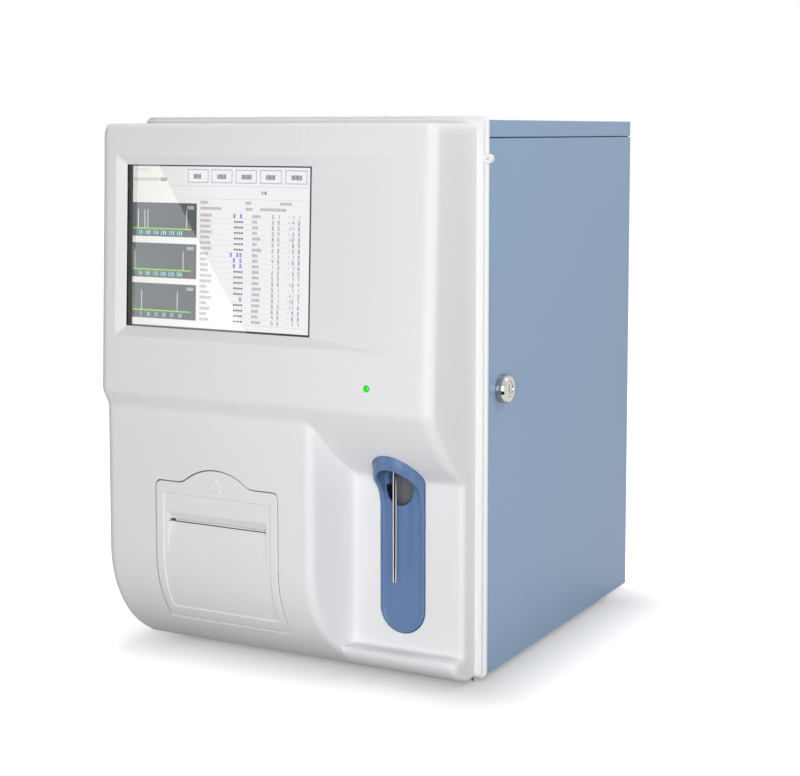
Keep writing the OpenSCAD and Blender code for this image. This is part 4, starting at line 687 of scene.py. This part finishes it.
# Printer door
# A curved ABS door that drops forward on two pins. Inside a flat frame its panel is sunk, with a
# bevelled paper slot and a scooped panel under it, and an arrow marks the thumb bump.
PIN_Y, PIN_Z, PIN_R, KNUCKLE_R = -53.812, 34.5, 1.5, 3.0
DOOR_FOOT, DOOR_WALL, EDGE_R = 32.64, 2.2, 0.7
FRAME_W, FRAME_STEP, FRAME_LOW, FRAME_TOP = 7.0, 0.9, PIN_Z + 7.0, DOOR_TOP - 9.6
SLOT_L, SLOT_R, SLOT_Z, SLOT_H, SLOT_DEEP = -89.0, 3.0, 112.4, 2.4, 4.7
SLOT_TOP, SLOT_BEVEL, SCOOP_H = SLOT_Z + SLOT_H, 6.4, 27.0
ARROW_Z, HEAD_W, STEM_W, STEM_LOW, ARROW_STEP = 144.8, 7.2, 4.4, 141.2, 0.5
SOFT, SLOT_SOFT = 0.8, 0.5  # half the run of the frame's soft step, and of the slot's ends


def arrow_height(x, z):
    """Height of the raised arrow: a soft step at the edge of a triangle above a short block."""
    off = np.abs(x - DOOR_MID)
    head = np.minimum((HEAD_W - off - (z - ARROW_Z)) * 0.7, z - ARROW_Z)
    stem = np.minimum(STEM_W - off, np.minimum(z - STEM_LOW, ARROW_Z + 0.6 - z))
    return ARROW_STEP * ramp(np.maximum(head, stem) / 0.8 + 0.5)


def door_depth(x, z):
    """Depth under the housing's surface: a soft step inside the frame, a bevel down to the slot, a scoop that runs
    out below it as a power of the height, and a small step up at the arrow."""
    inside = np.minimum(np.minimum(x - DOOR_L, DOOR_R - x) - FRAME_W, np.minimum(z - FRAME_LOW, FRAME_TOP - z))
    frame_step = FRAME_STEP * ramp(inside / 1.2 + 0.5)
    ends = ramp(np.minimum(x - SLOT_L, SLOT_R - x) + 0.5)
    bevel = np.clip((SLOT_TOP + SLOT_BEVEL - z) / SLOT_BEVEL, 0, 1)
    scoop = np.clip((z - SLOT_Z + SCOOP_H) / SCOOP_H, 0, 1) ** 1.8
    return frame_step + ends * SLOT_DEEP * np.where(z > SLOT_Z + SLOT_H / 2, bevel, scoop) - arrow_height(x, z)


door_columns = ladder(
    DOOR_L + EDGE_R, 5, DOOR_L + FRAME_W - SOFT, 4, DOOR_L + FRAME_W + SOFT, 4, SLOT_L - SLOT_SOFT, 3,
    SLOT_L + SLOT_SOFT, 12, DOOR_MID - 8, 40, DOOR_MID + 8, 12, SLOT_R - SLOT_SOFT, 3, SLOT_R + SLOT_SOFT, 4,
    DOOR_R - FRAME_W - SOFT, 4, DOOR_R - FRAME_W + SOFT, 5, DOOR_R - EDGE_R,
)
door_rows = ladder(
    DOOR_FOOT, 4, FRAME_LOW - SOFT, 4, FRAME_LOW + SOFT, 12, HOUSING_Z + 0.3, 11, SLOT_Z - 0.4, 2, SLOT_Z, 1,
    SLOT_TOP, 2, SLOT_TOP + 0.4, 5, SLOT_TOP + SLOT_BEVEL - 0.8, 3, SLOT_TOP + SLOT_BEVEL + 0.6, 6,
    FRAME_TOP - SOFT, 4, FRAME_TOP + SOFT, 48, 141.1,
)
roll = np.linspace(0, math.pi / 2, 4)[1:]
x_line = np.concatenate([
    DOOR_L + EDGE_R * (1 - np.sin(roll[::-1])), door_columns, DOOR_R - EDGE_R * (1 - np.sin(roll)),
])
x_drop = np.concatenate([EDGE_R * (1 - np.cos(roll[::-1])), 0 * door_columns, EDGE_R * (1 - np.cos(roll))])
# The rows above the frame spread to the bumped outline
outline = door_top_line(x_line, 0.0)
spread_z = FRAME_TOP + SOFT
share = np.clip((door_rows - spread_z) / (door_rows[-1] - spread_z), 0, 1)[:, None]
DZ = door_rows[:, None] * (1 - share) + share * (outline - EDGE_R)
DX = np.broadcast_to(x_line, DZ.shape)
door_y = -(lower_reach(DZ) - door_depth(DX, DZ) - x_drop)
# The top edge rolls over, and under the foot the skin wraps the knuckle round the pins
top_z = outline - EDGE_R + EDGE_R * np.sin(roll)[:, None]
top_y = door_y[-1] + EDGE_R * (1 - np.cos(roll))[:, None]
wrap = np.radians([330, 300, 270, 245, 228])[:, None]
wrap_y = PIN_Y + KNUCKLE_R * np.cos(wrap) + 0 * x_line
wrap_z = PIN_Z + KNUCKLE_R * np.sin(wrap) + 0 * x_line
door_y = np.concatenate([wrap_y, door_y, top_y])
DZ = np.concatenate([wrap_z, DZ, top_z])
DX = np.broadcast_to(x_line, DZ.shape)
slot_x = (x_line[:-1] + x_line[1:]) / 2
slot_z = np.concatenate([np.zeros(len(wrap)), (door_rows[:-1] + door_rows[1:]) / 2, np.zeros(len(roll))])
slot_cell = ((slot_x > SLOT_L) & (slot_x < SLOT_R))[None] & ((slot_z > SLOT_Z) & (slot_z < SLOT_TOP))[:, None]
piece_from(
    "printer_door_skin", to_row(DX, door_y, DZ), grid_faces(*DX.shape, ~slot_cell), white_abs,
    "printer_door", ["printer_door"], wall_mm=DOOR_WALL, crease=28,
)


def block_piece(name, lows, highs, material, body, nodes):
    """A piece of plain blocks: for each pair of opposite corners, eight corners and six quads."""
    lows, highs = np.atleast_2d(lows), np.atleast_2d(highs)
    pick = np.array([[i & 1, i >> 1 & 1, i >> 2] for i in range(8)])
    corners = np.where(pick[None], highs[:, None], lows[:, None]).reshape(-1, 3)
    quads = np.array([[0, 2, 3, 1], [4, 5, 7, 6], [0, 1, 5, 4], [2, 6, 7, 3], [0, 4, 6, 2], [1, 3, 7, 5]])
    faces = (quads[None] + 8 * np.arange(len(lows))[:, None, None]).reshape(-1, 4)
    return piece_from(name, to_row(*corners.T), faces, material, body, nodes)


# Two cheeks on the door's back hold the platen, and the pivot pins stand out of its foot
cheek_low, cheek_size = np.array([[-94.5, -72.6, 108.0], [6.0, -72.6, 108.0]]), np.array([2.5, 16.1, 10.0])
block_piece(
    "door_cheeks", cheek_low, cheek_low + cheek_size, white_abs, "printer_door", ["printer_door"]
)
pin_x = np.array([DOOR_L - 6, DOOR_L - 6, DOOR_R + 5, DOOR_R + 5])[:, None]
pin_r = np.array([0.01, PIN_R, PIN_R, 0.01])[:, None]
pins = to_row(pin_x + 0 * around, PIN_Y + pin_r * np.cos(around), PIN_Z + pin_r * np.sin(around))
piece_from(
    "door_pivots", pins, ring_faces(len(pin_r), len(around))[:, ::-1], white_abs, "printer_door",
    ["printer_door"],
)
# The end of the paper looks out of the slot, level and then curled down in a parabola to its tip
PAPER_X, PAPER_BACK, CURL_Y, PAPER_TIP, CURL = np.array([-84.2, 2.4]), -62.0, -66.5, -70.6, 1.1
paper_y = np.linspace(PAPER_BACK, PAPER_TIP, 13)[:, None]
paper_z = SLOT_TOP - 0.1 - CURL * np.clip((CURL_Y - paper_y) / (CURL_Y - PAPER_TIP), 0, 1) ** 2
piece_from(
    "paper_end", to_row(PAPER_X, paper_y, paper_z), grid_faces(len(paper_y), 2)[:, ::-1], paper,
    "printer_door", [], wall_mm=0.1,
)

# Seam shade block
# A small block of the grey rubber inside the rear lip, behind the open corner of the seam under the top cover.
# It is a dark thing put there as painted shade, to darken that gap.
seam_shade_low, seam_shade_high = [132.8, 297.5, 416.25], [153.9, 300.6, 422.0]
block_piece("seam_shade_block", seam_shade_low, seam_shade_high, rubber_and_seam_shade, "analyser", [])

# Start key
# One glossy blue ABS moulding: a tongue with a raised edge and a window, and a hood that grows out
# of its sides and rings the probe. It rocks on a pin behind the panel.
KEY_FRONT, KEY_TOP, KEY_WALL, KEY_EDGE = -29.5, 160.0, 2.2, 1.8
RIDGE_W, RIDGE_H = 3.0, 0.9  # the fall inside the tongue's raised edge
WINDOW_X, WINDOW_R, WINDOW_Z, SAG_Z = -2.3, 11.9, 148.0, 110.0
HOOD_WALL, HOOD_H, HOOD_IN, FLOW_R, LEG_Y = 4.0, 11.0, 1.5, 10.0, -27.0


def ceiling_z(y):
    """Height of the bay's ceiling at y: its arc about a centre inside the case."""
    return CEILING_Z - np.sqrt(np.maximum(CEILING_R**2 - (CEILING_BACK - y) ** 2, 0))


def rounded(d, r):
    """Fall of a rounded edge at distance d inside it: r less the arc's height, and none beyond r."""
    return r - np.sqrt(np.maximum(r**2 - np.clip(r - d, 0, r) ** 2, 0))


key_columns = ladder(
    -KEY_R, 6, KEY_EDGE - KEY_R, 5, KEY_EDGE + 2 - KEY_R, 2, WINDOW_X - WINDOW_R, 18, WINDOW_X + WINDOW_R, 3, 14, 5,
    KEY_R - KEY_EDGE, 6, KEY_R,
)
key_rows = np.concatenate([
    KEY_ROUND_Z - KEY_R * np.cos(np.linspace(0, math.pi / 2, 15))[:-1],
    ladder(KEY_ROUND_Z, 8, SAG_Z, 10, WINDOW_Z, 4, KEY_TOP),
])
# The tongue's end is round, and the rows under the window sag to its lower half circle
half_w = np.sqrt(np.maximum(KEY_R**2 - np.clip(KEY_ROUND_Z - key_rows, 0, KEY_R) ** 2, 0))[:, None]
KX = key_columns * half_w / KEY_R
sag = np.sqrt(np.maximum(WINDOW_R**2 - (key_columns - WINDOW_X) ** 2, 0))
sag_share = np.clip((key_rows - SAG_Z) / (WINDOW_Z - SAG_Z), 0, 1) * (key_rows <= WINDOW_Z)
KZ = key_rows[:, None] - sag * sag_share[:, None]
inside = KEY_R - np.hypot(KX, np.clip(KEY_ROUND_Z - KZ, 0, None))
key_y = KEY_FRONT + rounded(inside, KEY_EDGE) + RIDGE_H * ramp((inside - KEY_EDGE) / RIDGE_W)
window = ((np.abs(key_columns[:-1] + key_columns[1:] - 2 * WINDOW_X) < 2 * WINDOW_R)[None]
          & (key_rows[:-1] + key_rows[1:] > 2 * WINDOW_Z)[:, None])
# Blue ABS: moulded in colour and glossy
blue_abs = finish("moulded ABS, blue", "#5876A2", 0.3)
piece_from(
    "key_tongue", to_row(KEY_X + KX, key_y, KZ), grid_faces(*KX.shape, ~window), blue_abs, "start_key",
    ["start_key"], wall_mm=KEY_WALL,
)

# The hood's section, a wall with a round lower edge, is carried along a path round the probe: a straight leg,
# a half circle and a second leg
swing = np.linspace(math.pi, 2 * math.pi, 33)
leg_y = np.linspace(LEG_Y, -HOOD_Y, 12)[:-1]
path_x = np.concatenate([0 * leg_y - 1, np.cos(swing), 0 * leg_y + 1])
path_n = np.concatenate([0 * leg_y, np.sin(swing), 0 * leg_y])
path_mid = np.concatenate([leg_y, 0 * swing - HOOD_Y, leg_y[::-1]])
bend = np.linspace(0, math.pi, 9)
half = HOOD_WALL / 2
across = np.concatenate([[0.0, 0.0], half * (1 - np.cos(bend)), [HOOD_WALL, HOOD_WALL, half]])[:, None]
up_edge = np.concatenate([[1.0, 0.5], 0 * bend, [0.5, 1.0, 1.0]])[:, None]
dip = np.concatenate([[0.0, 0.0], half * (1 - np.sin(bend)), [0.0, 0.0, 0.0]])[:, None]
hood_x = KEY_X + (KEY_R - across) * path_x
hood_y = path_mid + (KEY_R - across) * path_n
edge_y = path_mid + KEY_R * path_n
low_edge = ceiling_z(edge_y) - HOOD_H - rounded(KEY_FRONT - edge_y, FLOW_R)
hood_z = low_edge + dip + up_edge * (ceiling_z(edge_y) + HOOD_IN - low_edge)


def capped(a):
    """Closes a swept tube: its first and last sections are followed by their own centre."""
    ends = a.mean(axis=0)
    return np.concatenate([np.full((len(a), 1), ends[0]), a, np.full((len(a), 1), ends[-1])], 1)


hood_x, hood_y, hood_z = capped(hood_x), capped(hood_y), capped(hood_z)
tube = np.arange(hood_x.size).reshape(hood_x.shape)
tube = np.concatenate([tube, tube[:1]])
hood_faces = np.stack([tube[:-1, :-1], tube[1:, :-1], tube[1:, 1:], tube[:-1, 1:]], -1).reshape(-1, 4)
piece_from("key_hood", to_row(hood_x, hood_y, hood_z), hood_faces, blue_abs, "start_key", ["start_key"])
# Two ears behind the tongue take the pivot pin
ear_low, ear_size = np.array([[81.5, -27.5, 151.5], [110.5, -27.5, 151.5]]), np.array([4.0, 11.0, 20.5])
block_piece("key_ears", ear_low, ear_low + ear_size, blue_abs, "start_key", ["start_key"])

# Studio
# A white floor, soft lamps and two cards stand for the photographer's table. They aren't part of the
# object. Only reflections show the cards: a dark one before the probe, a bright one beside the screen.


def stage_piece(name, points, faces):
    """A plain mesh that belongs to the studio."""
    mesh = bpy.data.meshes.new(name)
    mesh.from_pydata(points, [], faces)
    made = bpy.data.objects.new(name, mesh)
    bpy.context.scene.collection.objects.link(made)
    return made


def seen_directly(tree):
    """One for camera, mirror and transmission rays, and zero for the rays that light the object."""
    path = add_node(tree, "ShaderNodeLightPath")
    seen = path.outputs["Is Camera Ray"]
    for ray in ("Is Glossy Ray", "Is Transmission Ray"):
        seen = add_node(tree, "ShaderNodeMath", {"operation": "MAXIMUM"}, _0=seen, _1=path.outputs[ray]).outputs[0]
    return seen


floor = stage_piece("floor", [(-9, -9, 0), (9, -9, 0), (9, 9, 0), (-9, 9, 0)], [(0, 1, 2, 3)])
# White paper sweep: it takes the shadow under the object, and on top of that a painted shadow: its glow is dim
# at the object's footprint and rises with the distance from it, up to plain white
PAINTED_SHADOW_MID, PAINTED_SHADOW_HALF, PAINTED_SHADOW_RUN = (0.02, -0.004, 0), (0.13, 0.13, 0), 0.09
painted_shadow_sweep = bpy.data.materials.new("paper sweep, white, with painted shadow")
painted_shadow_sweep.use_nodes = True
tree = painted_shadow_sweep.node_tree
tree.nodes.clear()
spot = add_node(tree, "ShaderNodeTexCoord")
away = spot.outputs["Object"]
for operation, value in (
    ("SUBTRACT", PAINTED_SHADOW_MID), ("ABSOLUTE", (0, 0, 0)), ("SUBTRACT", PAINTED_SHADOW_HALF), ("MAXIMUM", (0, 0, 0)),
):
    away = add_node(tree, "ShaderNodeVectorMath", {"operation": operation}, _0=away, _1=value).outputs[0]
far = add_node(tree, "ShaderNodeVectorMath", {"operation": "LENGTH"}, _0=away)
# Painted shadow: the glow is least at the box round the footprint and reaches full white a little beyond it
painted_shadow_fade = add_node(
    tree, "ShaderNodeMapRange", Value=far.outputs["Value"], From_Min=0.0, From_Max=PAINTED_SHADOW_RUN, To_Min=0.28, To_Max=0.95
)
level = add_node(tree, "ShaderNodeMath", {"operation": "MULTIPLY"}, _0=seen_directly(tree), _1=painted_shadow_fade.outputs[0])
lit = add_node(tree, "ShaderNodeBsdfDiffuse", Color=linear("#B4B4B4"))
glow = add_node(tree, "ShaderNodeEmission", Color=(1, 1, 1, 1), Strength=level.outputs[0])
both = add_node(tree, "ShaderNodeAddShader", _0=lit.outputs[0], _1=glow.outputs[0])
add_node(tree, "ShaderNodeOutputMaterial", Surface=both.outputs[0])
floor.data.materials.append(painted_shadow_sweep)


def card(name, points, level):
    """A flat card of plain brightness that only mirror rays see."""
    made = stage_piece(name, points, [tuple(range(len(points)))])
    made.visible_camera = made.visible_diffuse = made.visible_transmission = made.visible_shadow = False
    material = bpy.data.materials.new(name)
    material.use_nodes = True
    material.node_tree.nodes.clear()
    light = add_node(material.node_tree, "ShaderNodeEmission", Color=(1, 1, 1, 1), Strength=level)
    add_node(material.node_tree, "ShaderNodeOutputMaterial", Surface=light.outputs[0])
    made.data.materials.append(material)


dark_plan = [(-0.05, -0.47), (-0.38, -1.15), (0.62, -1.3), (1.19, -0.31), (0.44, -0.25)]
card("dark card", [(x, y, 0.002) for x, y in dark_plan], 0.02)
bright_front = [(-0.955, 0.17), (-0.725, 0.17), (-0.935, 0.48), (-0.955, 0.48)]
card("bright card", [(x, -1.3, z) for x, z in bright_front], 4.2)

world = bpy.data.worlds.new("studio")
bpy.context.scene.world = world
world.use_nodes = True
tree = world.node_tree
tree.nodes.clear()
level = add_node(tree, "ShaderNodeMapRange", Value=seen_directly(tree), To_Min=0.25, To_Max=1.0)
sky = add_node(tree, "ShaderNodeBackground", Color=(1, 1, 1, 1), Strength=level.outputs[0])
add_node(tree, "ShaderNodeOutputWorld", Surface=sky.outputs[0])


def lamp(name, place, aim, size, watts):
    """A square soft lamp at place that points at aim: tilted from straight down, then turned about the upright."""
    light = bpy.data.lights.new(name, "AREA")
    light.size, light.energy = size, watts
    made = bpy.data.objects.new(name, light)
    made.location = place
    towards = np.array(aim) - np.array(place)
    tilt = math.acos(-towards[2] / np.linalg.norm(towards))
    made.rotation_euler = (tilt, 0, math.atan2(towards[1], towards[0]) - math.pi / 2)
    bpy.context.scene.collection.objects.link(made)


lamp("key lamp", (0.85, -1.55, 0.3), (0, 0, 0.2), 1.0, 25)
lamp("side lamp", (0.75, 0.15, 1.0), (0.1, 0, 0.3), 0.4, 2.8)
lamp("top lamp", (-0.2, 0.2, 2.3), (0, 0, 0), 0.6, 16)

# The camera stands where the photo's perspective puts it: right of the front, looking down a little
camera_data = bpy.data.cameras.new("camera")
camera_data.lens, camera_data.sensor_width, camera_data.shift_y = 75.857, 36, -0.14
camera = bpy.data.objects.new("camera", camera_data)
camera.location = (0.6955, -1.2656, 0.4218)
camera.rotation_euler = (math.radians(90 - 4.926), 0, math.radians(28.192))
bpy.context.scene.collection.objects.link(camera)
bpy.context.scene.camera = camera
bpy.context.scene.view_settings.view_transform = "Standard"
